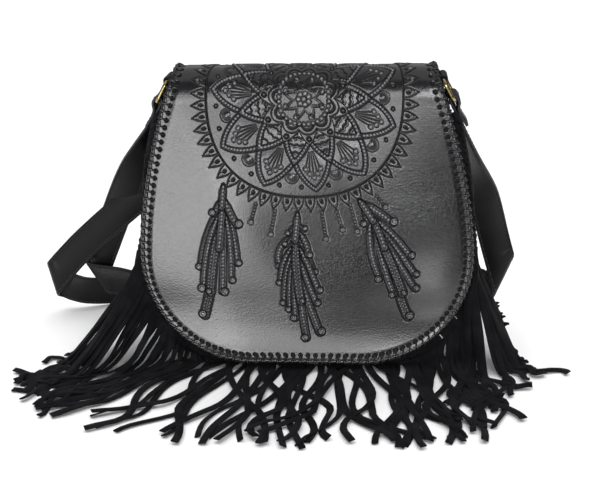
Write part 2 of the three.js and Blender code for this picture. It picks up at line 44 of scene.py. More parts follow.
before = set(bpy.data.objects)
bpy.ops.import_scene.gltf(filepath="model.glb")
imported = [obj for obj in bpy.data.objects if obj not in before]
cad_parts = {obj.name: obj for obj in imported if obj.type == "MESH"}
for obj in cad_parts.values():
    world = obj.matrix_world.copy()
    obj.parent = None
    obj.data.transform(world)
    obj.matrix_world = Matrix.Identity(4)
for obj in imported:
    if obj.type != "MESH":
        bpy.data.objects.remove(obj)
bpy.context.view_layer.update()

# The bag's outline and side view, in millimetres, as its CAD model has them
HALF = 148.5  # half of the sheet's greatest width
TOP_INSET = 35.0  # each side's turn inwards at the top
WIDEST = 104.0
TOP = 270.0
BASE = 84.0
CORNER = 2.15
TAPER = 1.7
FLAP_EDGE = 8.5
BACK_EDGE = 1.8
FOLD_RADIUS = 24.0
FOLD_Z = 244.7
FRONT_FOOT = 51.0
BACK_FOOT = 41.5
BULGE = 3.5
CURL = 6.0
KICK = 10.0
TURN_IN = 1.7  # how far the leather's face turns in over its cut edge
SHEET = 2.6
PANEL = 2.2
PANEL_GAP = 5.4
SEAM_GAP = 0.8
POUCH_INSET = 5.0
TAB_FOOT = 234.0
RING_BAR = (121.25, 258.0)
HANG = math.radians(28)
BAR_SPACING = 20.1
WIRE = 1.8
LEAST_HEIGHT = 0.05  # of soft pieces above the floor


def held(value):
    """value, held between 0 and 1."""
    return np.clip(value, 0, 1)


def eased(t):
    """A share from 0 to 1 that starts and stops gently: 3 t^2 - 2 t^3."""
    return t * t * (3 - 2 * t)


def travelled(line):
    """Length along a polyline up to each of its points."""
    return np.concatenate([[0], np.cumsum(np.linalg.norm(np.diff(line, axis=0), axis=1))])


def sampled(values, length, at):
    """Rows of values that stand at the given lengths, carried to other lengths."""
    return np.stack([np.interp(at, length, column) for column in values.T], -1)


def down_share(z):
    """Share of the way down from the fold to the floor."""
    return held((FOLD_Z - z) / FOLD_Z)


def half_width(z, half=HALF, foot=0.0):
    """Half width of the outline: a superellipse corner below the widest height, a power curve above it."""
    z = np.asarray(z, float)
    drop = held((WIDEST - z) / (WIDEST - foot))
    low = BASE / 2 + (half - BASE / 2) * (1 - drop**CORNER) ** (1 / CORNER)
    rise = np.clip((z - WIDEST) / (TOP - WIDEST), 0, None)
    return np.where(z <= WIDEST, low, half - TOP_INSET * rise**TAPER)


def seam_half_width(z, inset, foot):
    """Half width of the front seam's outline, which draws in below the tabs."""
    share = held((TAB_FOOT - np.asarray(z, float)) / (TAB_FOOT - WIDEST))
    return half_width(z, HALF - POUCH_INSET * share - inset, foot)


def flap_y(x, z):
    """Middle of the flap's leather: a lean, a sine crown and side edges that curl back by a fourth power."""
    share = down_share(z)
    lean = FOLD_RADIUS + (FRONT_FOOT - FOLD_RADIUS) * share + BULGE * np.sin(np.pi * share)
    return CURL * (np.abs(x) / HALF) ** 4 * np.minimum(1, 3 * share) - lean


def back_y(z):
    """Middle of the back's leather: a straight lean."""
    return FOLD_RADIUS + (BACK_FOOT - FOLD_RADIUS) * down_share(z)


def panel_y(x, z):
    """Middle of the front panel's leather, behind the flap."""
    return flap_y(x, z) + SHEET / 2 + PANEL_GAP + PANEL / 2


def corner_heights(foot, top, corner_steps, side_steps):
    """Heights from the outline's foot to top: even in angle round the corner, even in height above it."""
    angle = np.linspace(0, np.pi / 2, corner_steps, endpoint=False)
    corner = WIDEST - (WIDEST - foot) * np.cos(angle) ** (2 / CORNER)
    return np.concatenate([corner, np.linspace(WIDEST, top, side_steps)])


def sheet_path():
    """Middle line of the sheet from the back's foot over the fold to the flap's foot: s, y, z.

    s is the length along it, 0 where the flap leaves the fold. The ends of the fold's half circle are
    eased by a Hann window of 20 mm, and the flap's foot stands off a little, where it rests on the fringe.
    """
    back = np.linspace(BACK_EDGE, FOLD_Z, 200)
    turn = np.linspace(0, np.pi, 120)[1:-1]
    front = np.linspace(FOLD_Z, FLAP_EDGE, 400)
    kick = KICK * held((68 - front) / 60) ** 2
    y = np.concatenate([back_y(back), FOLD_RADIUS * np.cos(turn), flap_y(0, front) - kick])
    z = np.concatenate([back, FOLD_Z + FOLD_RADIUS * np.sin(turn), front])
    s = travelled(np.stack([y, z], 1))
    s -= s[len(back) + len(turn)]
    even = np.arange(s[0], s[-1], 0.5)
    window = np.hanning(41)
    window /= window.sum()
    columns = []
    for values in (y, z):
        column = np.pad(np.interp(even, s, values), 20, mode="reflect", reflect_type="odd")
        columns.append(np.convolve(column, window, mode="valid"))
    return even, *columns


PATH_S, PATH_Y, PATH_Z = sheet_path()
FOLD_LENGTH = math.pi * FOLD_RADIUS


def sheet_surface(x, s):
    """Point and outward normal of the sheet's middle at x and path length s."""
    y = np.interp(s, PATH_S, PATH_Y)
    z = np.interp(s, PATH_S, PATH_Z)
    on_flap = (s > 0) * np.minimum(1, 3 * down_share(z))
    y = y + CURL * (np.abs(x) / HALF) ** 4 * on_flap
    slope_y = np.interp(s, PATH_S, np.gradient(PATH_Y, PATH_S))
    slope_z = np.interp(s, PATH_S, np.gradient(PATH_Z, PATH_S))
    curl = 4 * CURL * (np.abs(x) / HALF) ** 3 * np.sign(x) / HALF * on_flap
    normal = np.stack([-slope_z * curl, slope_z * np.ones_like(x), -slope_y * np.ones_like(x)], -1)
    normal = normal / np.linalg.norm(normal, axis=-1, keepdims=True)
    return np.stack([x + 0 * z, y, z], -1), normal


def sheet_half(s):
    """Half width of the sheet at path length s."""
    z = np.interp(s, PATH_S, PATH_Z)
    foot = np.where(s > -FOLD_LENGTH / 2, FLAP_EDGE, BACK_EDGE)
    return half_width(z, HALF, foot)


def edge_distance(x, s):
    """Distance from the sheet's edge along the leather, to first order near the edge."""
    z = np.interp(s, PATH_S, PATH_Z)
    foot = np.where(s > -FOLD_LENGTH / 2, FLAP_EDGE, BACK_EDGE)
    across = held((np.abs(x) - BASE / 2) / (HALF - BASE / 2))
    drop = held((WIDEST - z) / (WIDEST - foot))
    steep = np.hypot(across ** (CORNER - 1) / (HALF - BASE / 2), drop ** (CORNER - 1) / (WIDEST - foot))
    low = (1 - across**CORNER - drop**CORNER) / (CORNER * steep + 1e-6)
    slope = (half_width(z + 0.5, HALF, foot) - half_width(z - 0.5, HALF, foot)) * (z > WIDEST + 0.5)
    side = (half_width(z, HALF, foot) - np.abs(x)) / np.hypot(1, slope)
    return np.where(z < WIDEST, low, side)


def resample(line, count, closed=False):
    """count points evenly spaced along a polyline of any dimension."""
    line = np.vstack([line, line[:1]]) if closed else line
    length = travelled(line)
    return sampled(line, length, np.linspace(0, length[-1], count, endpoint=not closed))


def edge_line():
    """The sheet's whole edge in x and s: up the back's right side, over, down the flap and round."""
    crown = int(PATH_Z.argmax())
    back = corner_heights(PATH_Z[0], FOLD_Z - 15, 60, 60)
    front = corner_heights(PATH_Z[-1], FOLD_Z - 15, 60, 60)[::-1]
    first = np.interp(back, PATH_Z[:crown], PATH_S[:crown])
    last = np.interp(-front, -PATH_Z[crown:], PATH_S[crown:])
    s = np.concatenate([first, np.linspace(first[-1], last[0], 60)[1:-1], last])
    right = np.stack([sheet_half(s), s], -1)
    right[0, 0] = right[-1, 0] = BASE / 2
    left = right[::-1] * [-1, 1]
    return np.vstack([right, left])


# Meshes


def grid_faces(rows, columns):
    """Quads of a grid of points, rows by columns."""
    at = np.arange(rows * columns).reshape(rows, columns)
    return np.stack([at[:-1, :-1], at[1:, :-1], at[1:, 1:], at[:-1, 1:]], -1).reshape(-1, 4)


def make_piece(name, points, faces, material, replaced, values=None, normals=None):
    """Puts points in millimetres and faces of three or four corners into a smooth mesh that rides the bag."""
    mesh = bpy.data.meshes.new(name)
    groups = faces if isinstance(faces, (list, tuple)) else [faces]
    corners = np.concatenate([group.ravel() for group in groups]).astype(np.int32)
    sizes = np.concatenate([np.full(len(group), group.shape[1]) for group in groups]).astype(np.int32)
    mesh.vertices.add(len(points))
    mesh.vertices.foreach_set("co", (np.asarray(points, np.float32) / 1000).ravel())
    mesh.loops.add(len(corners))
    mesh.loops.foreach_set("vertex_index", corners)
    mesh.polygons.add(len(sizes))
    mesh.polygons.foreach_set("loop_start", np.concatenate([[0], np.cumsum(sizes)[:-1]]).astype(np.int32))
    mesh.polygons.foreach_set("use_smooth", np.ones(len(sizes), bool))
    mesh.update(calc_edges=True)
    mesh.validate()
    for key, column in (values or {}).items():
        mesh.attributes.new(key, "FLOAT", "POINT").data.foreach_set("value", np.asarray(column, np.float32))
    if normals is not None:
        mesh.normals_split_custom_set_from_vertices(normals.astype(float))
    piece = bpy.data.objects.new(name, mesh)
    bpy.context.scene.collection.objects.link(piece)
    mesh.materials.append(material)
    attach(piece, "root")
    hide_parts(*replaced)


def outward(points, faces):
    """A closed piece's quads, turned over if the signed volume within them is negative."""
    a, b, c, d = (points[faces[:, i]] for i in range(4))
    volume = np.sum(a * np.cross(b, c)) + np.sum(a * np.cross(c, d))
    return faces if volume > 0 else faces[:, ::-1]


def closed_sweeps(sections):
    """Points and faces of closed tubes through sections[tube, station, corner], capped and facing out.

    Each tube's signed volume, the sum of its faces' tetrahedra, says which way it has to be turned.
    """
    tubes, stations, corners, _ = sections.shape
    at = np.arange(stations * corners).reshape(stations, corners)
    ring = np.roll(at, -1, axis=1)
    walls = np.stack([at[:-1], at[1:], ring[1:], ring[:-1]], -1).reshape(-1, 4)
    middle = stations * corners
    first = np.stack([np.full(corners, middle), at[0], ring[0], ring[0]], -1)
    last = np.stack([np.full(corners, middle + 1), ring[-1], at[-1], at[-1]], -1)
    centres = np.stack([sections[:, 0].mean(1), sections[:, -1].mean(1)], 1)
    points = np.concatenate([sections.reshape(tubes, -1, 3), centres], 1)
    caps = np.concatenate([first, last])[:, :3]
    p = points[:, walls]
    volume = np.einsum("tfi,tfi->t", p[:, :, 0], np.cross(p[:, :, 1], p[:, :, 2]))
    volume += np.einsum("tfi,tfi->t", p[:, :, 0], np.cross(p[:, :, 2], p[:, :, 3]))
    size = middle + 2
    shift = (np.arange(tubes) * size)[:, None, None]

    def turned(faces):
        every = np.broadcast_to(faces, (tubes, *faces.shape)) + shift
        return np.where((volume < 0)[:, None, None], every[:, :, ::-1], every).reshape(-1, faces.shape[1])

    return points.reshape(-1, 3), [turned(walls), turned(caps)]


def unit(v):
    """Vectors of length one."""
    return v / np.maximum(np.linalg.norm(v, axis=-1, keepdims=True), 1e-9)


ROUNDED = np.array([(1, 0), (0.8, 0.8), (0, 1), (-0.8, 0.8), (-1, 0), (-0.8, -0.8), (0, -1), (0.8, -0.8)])
FLAT = np.array([(1, -0.45), (1, 0.45), (0.86, 1), (-0.86, 1), (-1, 0.45), (-1, -0.45), (-0.86, -1), (0.86, -1)])


def ribbons(paths, faces, widths, thick, profile=ROUNDED):
    """Sections of flat ribbons along paths[ribbon, station], whose broad side faces the given way."""
    along = unit(np.gradient(paths, axis=1))
    across = unit(np.cross(along, faces))
    face = np.cross(across, along)
    half = np.broadcast_to(np.asarray(widths, float) / 2, paths.shape[:2])[..., None, None]
    deep = np.broadcast_to(np.asarray(thick, float) / 2, paths.shape[:2])[..., None, None]
    sides = across[:, :, None] * profile[:, 0][:, None] * half
    return paths[:, :, None] + sides + face[:, :, None] * profile[:, 1][:, None] * deep


def smooth_through(points, parts):
    """A smooth curve through points[..., station, :], parts steps between neighbours.

    A cubic Hermite curve, whose tangent at a point is its two chords' slopes weighed by the other's length.
    """
    step = np.maximum(np.linalg.norm(np.diff(points, axis=-2), axis=-1, keepdims=True), 1e-6)
    step = step.mean(axis=tuple(range(step.ndim - 2)), keepdims=True) * np.ones_like(step)
    chord = np.diff(points, axis=-2) / step
    inner = (chord[..., :-1, :] * step[..., 1:, :] + chord[..., 1:, :] * step[..., :-1, :]) / (
        step[..., 1:, :] + step[..., :-1, :]
    )
    slope = np.concatenate([chord[..., :1, :], inner, chord[..., -1:, :]], -2)
    t = (np.arange(parts) / parts)[:, None]
    a, b = points[..., :-1, None, :], points[..., 1:, None, :]
    reach = step[..., None, :]
    from_a, from_b = slope[..., :-1, None, :] * reach, slope[..., 1:, None, :] * reach
    curve = a * (2 * t**3 - 3 * t**2 + 1) + from_a * (t**3 - 2 * t**2 + t)
    curve = curve + b * (3 * t**2 - 2 * t**3) + from_b * (t**3 - t**2)
    curve = curve.reshape(*points.shape[:-2], -1, points.shape[-1])
    return np.concatenate([curve, points[..., -1:, :]], -2)


# Materials


def linear(code):
    """Linear red, green, blue and alpha of an sRGB hex code."""
    value = np.array([int(code[i : i + 2], 16) for i in (1, 3, 5)]) / 255
    return (*np.where(value <= 0.04045, value / 12.92, ((value + 0.055) / 1.055) ** 2.4).tolist(), 1)


def fill(tree, node, inputs):
    """Gives each named socket of a node its value, or links it to the socket given."""
    for key, value in dict(inputs).items():
        if isinstance(value, bpy.types.NodeSocket):
            tree.links.new(value, node.inputs[key])
        else:
            node.inputs[key].default_value = value


def add_node(tree, kind, inputs=(), **settings):
    """Adds a node with its settings and inputs."""
    node = tree.nodes.new(kind)
    for key, value in settings.items():
        setattr(node, key, value)
    fill(tree, node, inputs)
    return node


def new_material(name):
    """An empty material with its shader, and the place on the piece as a vector."""
    material = bpy.data.materials.new(name)
    material.use_nodes = True
    tree = material.node_tree
    tree.nodes.clear()
    shader = add_node(tree, "ShaderNodeBsdfPrincipled")
    add_node(tree, "ShaderNodeOutputMaterial", {"Surface": shader.outputs["BSDF"]})
    return material, tree, shader, add_node(tree, "ShaderNodeTexCoord").outputs["Object"]


def mix_colour(tree, share, first, second):
    """Colour between two others by share. Each of the three is a value or a socket."""
    return add_node(tree, "ShaderNodeMix", {0: share, 6: first, 7: second}, data_type="RGBA").outputs[2]


def ranged(tree, value, low, high, to_low, to_high):
    """value's stretch from low to high carried to another stretch, held at its ends."""
    inputs = {"Value": value, "From Min": low, "From Max": high, "To Min": to_low, "To Max": to_high}
    return add_node(tree, "ShaderNodeMapRange", inputs).outputs["Result"]


def noise(tree, place, scale, detail, roughness=0.5):
    """Noise with about scale patches to the metre."""
    inputs = {"Vector": place, "Scale": scale, "Detail": detail, "Roughness": roughness}
    return add_node(tree, "ShaderNodeTexNoise", inputs).outputs["Fac"]


def bumped(tree, height, strength, distance):
    """Normal of a surface that height raises by up to distance in metres."""
    inputs = {"Height": height, "Strength": strength, "Distance": distance}
    return add_node(tree, "ShaderNodeBump", inputs).outputs["Normal"]


def added(tree, first, second):
    """Sum of two sockets."""
    return add_node(tree, "ShaderNodeMath", {0: first, 1: second}, operation="ADD").outputs[0]


def leather(name, colour, worn, roughness, grain, depth, coat=0.0, groove=None, specular=0.5):
    """Grained leather. grain is the pebbles' width in metres and depth the bump's height in metres.

    groove names the attribute that is 1 in a cut or pressed line, where it paints shade, and below 0 on a raised top,
    where it paints a highlight.
    """
    material, tree, shader, place = new_material(name)
    cells = {"Vector": place, "Scale": 1 / grain, "Randomness": 0.9, "Smoothness": 0.6}
    pebbles = add_node(tree, "ShaderNodeTexVoronoi", cells, feature="SMOOTH_F1").outputs["Distance"]
    pores = noise(tree, place, 0.6 / grain, 1)
    clouds = noise(tree, place, 28, 4, 0.6)
    tone = mix_colour(tree, ranged(tree, clouds, 0.35, 0.7, 0, 1), linear(colour), linear(worn))
    tone = mix_colour(tree, ranged(tree, pores, 0.4, 0.75, 0, 0.2), tone, linear(worn))
    gloss = ranged(tree, pores, 0.3, 0.75, roughness - 0.03, roughness + 0.06)
    if groove:
        cut = add_node(tree, "ShaderNodeAttribute", attribute_name=groove).outputs["Fac"]
        # Painted shade darkens the cuts to near black, and a painted highlight greys the raised tops, by the
        # attribute's value
        tone = mix_colour(tree, ranged(tree, cut, 0.05, 0.9, 0, 1), tone, linear("#040405"))
        tone = mix_colour(tree, ranged(tree, cut, -0.1, -0.9, 0, 0.8), tone, linear("#76767c"))
        gloss = added(tree, gloss, ranged(tree, cut, 0.1, 0.9, 0, 0.4))
        if coat:
            fill(tree, shader, {"Coat Weight": ranged(tree, cut, 0.0, 0.6, coat, 0)})
    relief = bumped(tree, added(tree, pebbles, pores), 0.9, depth)
    fill(tree, shader, {"Base Color": tone, "Roughness": gloss, "Normal": relief})
    fill(tree, shader, {"IOR": 1.52, "Specular IOR Level": specular, "Coat Roughness": 0.15})
    return material


def suede():
    """Black split suede: a matt nap of short fibres, seen as fine soft noise and a faint sheen at grazing
    angles."""
    material, tree, shader, place = new_material("black_split_suede")
    nap = noise(tree, place, 900, 4, 0.7)
    brushed = noise(tree, place, 60, 2)
    worn = linear("#19191c")
    tone = mix_colour(tree, ranged(tree, brushed, 0.35, 0.7, 0, 1), linear("#0b0b0d"), worn)
    tone = mix_colour(tree, ranged(tree, nap, 0.45, 0.75, 0, 0.4), tone, worn)
    fill(tree, shader, {"Base Color": tone, "Normal": bumped(tree, nap, 0.8, 0.0003)})
    fill(tree, shader, {"Roughness": 0.92, "Specular IOR Level": 0.12, "Sheen Weight": 0.02, "Sheen Roughness": 0.5})
    return material


def brass():
    """Cast and polished brass: warm metal, with fine dulling and small scratches in its gloss."""
    material, tree, shader, place = new_material("polished_cast_brass")
    dulled = noise(tree, place, 180, 4, 0.6)
    tone = mix_colour(tree, ranged(tree, dulled, 0.4, 0.7, 0, 0.6), linear("#b9a878"), linear("#8f7d54"))
    gloss = ranged(tree, dulled, 0.3, 0.75, 0.18, 0.38)
    relief = bumped(tree, dulled, 0.2, 0.0001)
    fill(tree, shader, {"Base Color": tone, "Roughness": gloss, "Normal": relief, "Metallic": 1})
    return material


def thread(name):
    """Waxed black sewing thread: slightly glossy, twisted strands too fine to show as more than soft noise."""
    material, tree, shader, place = new_material(name)
    strands = ranged(tree, noise(tree, place, 1500, 1), 0.35, 0.65, 0, 0.5)
    tone = mix_colour(tree, strands, linear("#1a1a1c"), linear("#3a3a3e"))
    fill(tree, shader, {"Base Color": tone, "Roughness": 0.5})
    return material


def studio_paint():
    """Matt white paint of the studio floor: even, with patches of tone too faint to be seen as such."""
    material, tree, shader, place = new_material("matt_white_studio_floor")
    patchy = ranged(tree, noise(tree, place, 3.0, 2), 0.3, 0.7, 0, 1)
    tone = mix_colour(tree, patchy, linear("#f4f4f4"), linear("#f7f7f7"))
    fill(tree, shader, {"Base Color": tone, "Roughness": 0.9})
    return material


def tooled_leather():
    """Vegetable-tanned, hand-tooled cowhide with a semi-gloss finish: black, greyed in rubbed patches at random, with
    painted shade in its cuts and painted highlights on its raised tops. Its pebbles are drawn 1.3 mm wide, coarser
    than life, to show."""
    return leather("vegetable_tanned_tooled_cowhide", "#0e0e10", "#1a1a1d", 0.2, 0.0013, 0.00012, 0.6, "groove")


def flesh_side():
    """The tooled hide's back: matt and fibrous, a little paler than its face."""
    return leather("flesh_side_of_cowhide", "#0d0d0f", "#17171a", 0.75, 0.0012, 0.00015)


def lace_leather():
    """Glossy kid lace: smooth, dark, with sharp highlights on its turns."""
    return leather("glossy_kid_lace", "#101012", "#1c1c1f", 0.26, 0.0012, 0.00004, specular=0.7)


def body_leather():
    """Drum-dyed smooth cowhide of the pouch: satin, fine grain."""
    return leather("smooth_black_cowhide", "#09090b", "#101013", 0.5, 0.0014, 0.00015, specular=0.3)


def strap_leather():
    """Bridle leather of the strap: smooth and waxed, its burnished edges painted lighter as a painted highlight."""
    return leather("waxed_bridle_leather", "#060608", "#0c0c0e", 0.42, 0.0016, 0.0001, 0.0, "edge", 0.22)


# Tooling: height and groove fields over the sheet in x and s


class Field:
    """Relief in millimetres and painted shade (above 0) and painted highlight (below 0) at points x, s of the sheet,
    worked on as whole arrays.

    at gives the points' indices, distance their distances from a mark's middle, and here a share of them.
    """

    def __init__(self, x, s):
        self.x, self.s = x, s
        self.high = np.zeros_like(x)
        self.cut = np.zeros_like(x)

    def near(self, x, s, reach):
        """Indices of the points within a square about x, s."""
        return np.flatnonzero((np.abs(self.x - x) < reach) & (np.abs(self.s - s) < reach))

    def groove(self, at, distance, half, depth, here=slice(None)):
        """A rounded groove where distance, from its middle, is below half, darkened with painted shade."""
        at, share = at[here], eased(held(1 - np.abs(distance[here]) / half))
        self.high[at] -= depth * share
        self.cut[at] = np.where(share > 0, np.maximum(self.cut[at], share), self.cut[at])

    def bead(self, at, distance, radius, height, here=slice(None)):
        """A round bead with a painted highlight on its top, and a rim pressed about it and darkened with painted
        shade.
        """
        at, distance = at[here], distance[here]
        rim = held(1 - np.abs(distance - radius - 0.35) / 0.75)
        dome = np.sqrt(held(1 - (distance / radius) ** 2))
        inside = distance < radius
        self.high[at] = np.where(inside, height * dome - 0.1, self.high[at] - 0.45 * rim)
        self.cut[at] = np.where(inside, -dome, np.maximum(self.cut[at], 0.6 * rim))

    def pit(self, at, distance, radius, depth, here=slice(None)):
        """A flat-bottomed pit, darkened with painted shade."""
        at, share = at[here], held((radius - distance[here]) / 0.7)
        self.high[at] -= depth * share
        self.cut[at] = np.where(share > 0, np.maximum(self.cut[at], share), self.cut[at])

    def knob(self, x, s, radius):
        """A stamped circle: pressed ring, raised middle with a pit."""
        at = self.near(x, s, radius + 1.5)
        distance = np.hypot(self.x[at] - x, self.s[at] - s)
        self.bead(at, distance, radius, 0.55)
        self.groove(at, distance, 0.42 * radius, 0.5)


# Angles of the long petals' tips from +x towards +s, and radii of the mandala's lines
TIPS = np.array([-17.8, 16.6, 51.3, 82.7, 115.5, 150.4, 186.4, 217.6, 248.7, 279.9, 311.0, 342.2])
MIDDLE = (0.5, 0.5)
RING = 86.0
TEETH = 56
SQUARE = 2.3  # power of the ring's slightly squared circle


def petal_curve(share):
    """Radius of the crossing petal lines: from 40 at one tip's angle over 59 half way to 82 at the next."""
    inner = 40 + 38 * share
    late = held(2 * share - 1)
    outer = 59 + 23 * (0.4 * np.sin(np.pi / 2 * late) + 0.6 * late)
    return np.where(share < 0.5, inner, outer)


def mandala(field):
    """Rings, crossing petals, beads and teeth about the pattern's middle, by radius and angle."""
    dx, ds = field.x - MIDDLE[0], field.s - MIDDLE[1]
    radius = (np.abs(dx) ** SQUARE + np.abs(ds) ** SQUARE) ** (1 / SQUARE)
    at = np.flatnonzero(radius < RING + 14)
    radius, dx, ds = radius[at], dx[at], ds[at]
    angle = (np.degrees(np.arctan2(ds, dx)) - TIPS[0]) % 360 + TIPS[0]
    petal = np.interp(angle, TIPS, np.arange(len(TIPS)))
    share = petal % 1
    off = np.minimum(share, 1 - share)
    nearest = np.floor(petal + 0.5)
    lateral = np.radians(angle - np.interp(nearest, np.arange(len(TIPS)), TIPS)) * radius
    between = np.floor(petal)
    middle_angle = np.interp(between + 0.5, np.arange(len(TIPS)), TIPS)
    cross = np.radians(angle - middle_angle) * radius

    def steep(curve, radii):
        slope = (curve(off + 0.01) - curve(off - 0.01)) / 0.02 * 11 / (2 * np.pi) / np.maximum(radii, 5)
        return 1 / np.hypot(1, slope)

    def tangent(cosine):
        return np.sqrt(1 - cosine**2) / cosine

    low = petal_curve(off)
    tip = petal_curve(1 - off)
    root = 40 - 13 * (2 * off) ** 1.2
    low_slope = steep(petal_curve, low)
    tip_slope = steep(lambda a: petal_curve(1 - a), tip)
    long_petal = (radius > low) & (radius < tip)
    short_petal = (radius > root) & (radius <= low)
    from_tip = (tip - radius) * tip_slope
    from_low = (low - radius) * low_slope

    dome = np.where(long_petal, np.minimum(from_tip, -from_low), np.minimum(from_low, radius - root))
    inside = long_petal | short_petal
    field.high[at] += np.where(inside, 0.35 * held(dome / 5), 0)
    between_zone = (radius > np.maximum(tip, root)) & (radius < RING)
    field.high[at] -= 0.25 * between_zone

    # Wave marks across the short petals, radial lines and rings in the long ones
    for middle, width in ((34.5, 5.5), (41.0, 7.0), (47.5, 5.0)):
        wave = radius - middle + 1.2 * np.abs(np.cos(np.pi * cross / 5.4))
        here = short_petal & (np.abs(cross) < width)
        field.groove(at, wave, 1.0, 0.45, here)
        field.high[at] += np.where(here, 0.25 * held(1 - np.abs(wave - 1.6) / 1.4), 0)
    for end, reach in ((-6.6, 61.5), (-3.6, 65.5), (0.0, 69.0), (3.6, 65.5), (6.6, 61.5)):
        climb = held((radius - 46) / (reach - 46))
        line = lateral - end * (0.3 + 0.7 * climb)
        here = long_petal & (radius > 46) & (radius < reach - 1.8)
        field.groove(at, line, 0.75, 0.4, here)
        spot = np.hypot(lateral - end, radius - reach)
        here = long_petal & (spot < 3.2)
        field.bead(at, spot, 1.45, 0.5, here)

    # Petal lines, each with a row of beads inside
    for curve_distance, slope_zone, cosine, count, length in (
        (from_tip, long_petal, tip_slope, 11, 3.1),
        (from_low, short_petal, low_slope, 8, 3.0),
    ):
        phase = (2 * off if slope_zone is short_petal else 1 - 2 * off) * count
        along = ((phase - curve_distance * tangent(cosine) / length) % 1 - 0.5) * length
        spot = np.hypot(along, curve_distance - 2.25)
        band = slope_zone & (curve_distance < 4.0)
        field.high[at[band]] = 0.1
        # A little painted shade in the bead band
        field.cut[at[band]] = 0.1
        here = slope_zone & (spot < 2.2)
        field.bead(at, spot, 1.45, 0.7, here)
        field.groove(at, curve_distance - 4.0, 0.6, 0.4, slope_zone)
    field.groove(at, from_tip, 0.65, 0.6)
    line = np.where(radius < 64, from_low, 9)
    field.groove(at, line, 0.65, 0.6)
    here = radius < 41
    field.groove(at, radius - root, 0.7, 0.5, here)

    # Between the tips and the ring: half moons and knobs
    moon = np.hypot(cross, radius - 68.5)
    here = between_zone & (radius > 66)
    field.groove(at, moon - 6.0, 0.6, 0.4, here)
    # Painted shade in the half moon's thumbed hollow
    thumb = held(1 - np.abs(moon - 3.6) / 2.2)
    field.high[at[here]] -= 0.5 * thumb[here]
    field.cut[at[here]] = np.maximum(field.cut[at[here]], 0.75 * thumb[here])
    for side in (-9.8, 9.8):
        spot = np.hypot(cross - side, radius - 77.5)
        here = spot < 3.4
        field.pit(at, spot, 2.1, 0.6, here)
        here = spot < 0.9
        field.bead(at, spot, 0.8, 0.3, here)

    # Scallops, bead ring, star and middle flower
    spot = np.hypot(lateral, radius - 35)
    here = spot < 3.6
    field.pit(at, spot, 2.6, 0.7, here)
    here = spot < 1.0
    field.bead(at, spot, 0.9, 0.3, here)
    scallop = np.hypot(lateral, radius - 22)
    here = (radius > 22) & (radius < 33)
    field.groove(at, scallop - 9.0, 0.7, 0.5, here)
    field.groove(at, scallop - 5.0, 1.6, 0.6, here)
    rings(field, at, radius, angle, 21.8, 34, 1.45)
    rings(field, at, radius, angle, 16.6, 8, 1.9)
    star = np.abs((angle - 17 - 22.5) / 45 % 1 - 0.5) * 2
    edge = 10.0 + 7.5 * (1 - star)
    here = radius < 18.5
    field.groove(at, (radius - edge) * 0.6, 0.55, 0.45, here)
    field.groove(at, (radius - edge + 2.6) * 0.6, 0.45, 0.3, here)
    rings(field, at, radius, angle, 4.6, 7, 1.8)
    here = radius < 2.4
    field.bead(at, radius, 1.9, 0.8, here)

    # Ring and teeth
    field.groove(at, radius - RING, 0.8, 0.7)
    pitch = 2 * np.pi * (RING + 5) / TEETH
    tooth = ((angle / (360 / TEETH)) % 1 - 0.5) * pitch
    rise = (radius - RING - 0.9) / 12.2
    width = 4.55 * (1 - held(rise) ** 1.7)
    here = (rise > 0) & (rise < 1.12)
    inner = here & (np.abs(tooth) < width)
    field.high[at[inner]] += 0.35
    field.groove(at, (np.abs(tooth) - width) * 0.85, 0.6, 0.6, here)
    pit = np.hypot(tooth / 1.5, (radius - RING - 4.6) / 2.4)
    field.groove(at, pit, 1.25, 0.9, here)
    # A painted highlight on each tooth, beyond its pit
    spot = np.hypot(tooth, radius - RING - 8.2)
    shine = held(1 - spot[inner] / 2.0)
    field.high[at[inner]] += 0.45 * shine
    field.cut[at[inner]] -= 0.9 * shine


def rings(field, at, radius, angle, middle, count, size):
    """count beads in a ring of radius middle."""
    along = ((angle / (360 / count)) % 1 - 0.5) * 2 * np.pi * middle / count
    spot = np.hypot(along, radius - middle)
    here = spot < size + 1.1
    field.bead(at, spot, size, 0.5, here)


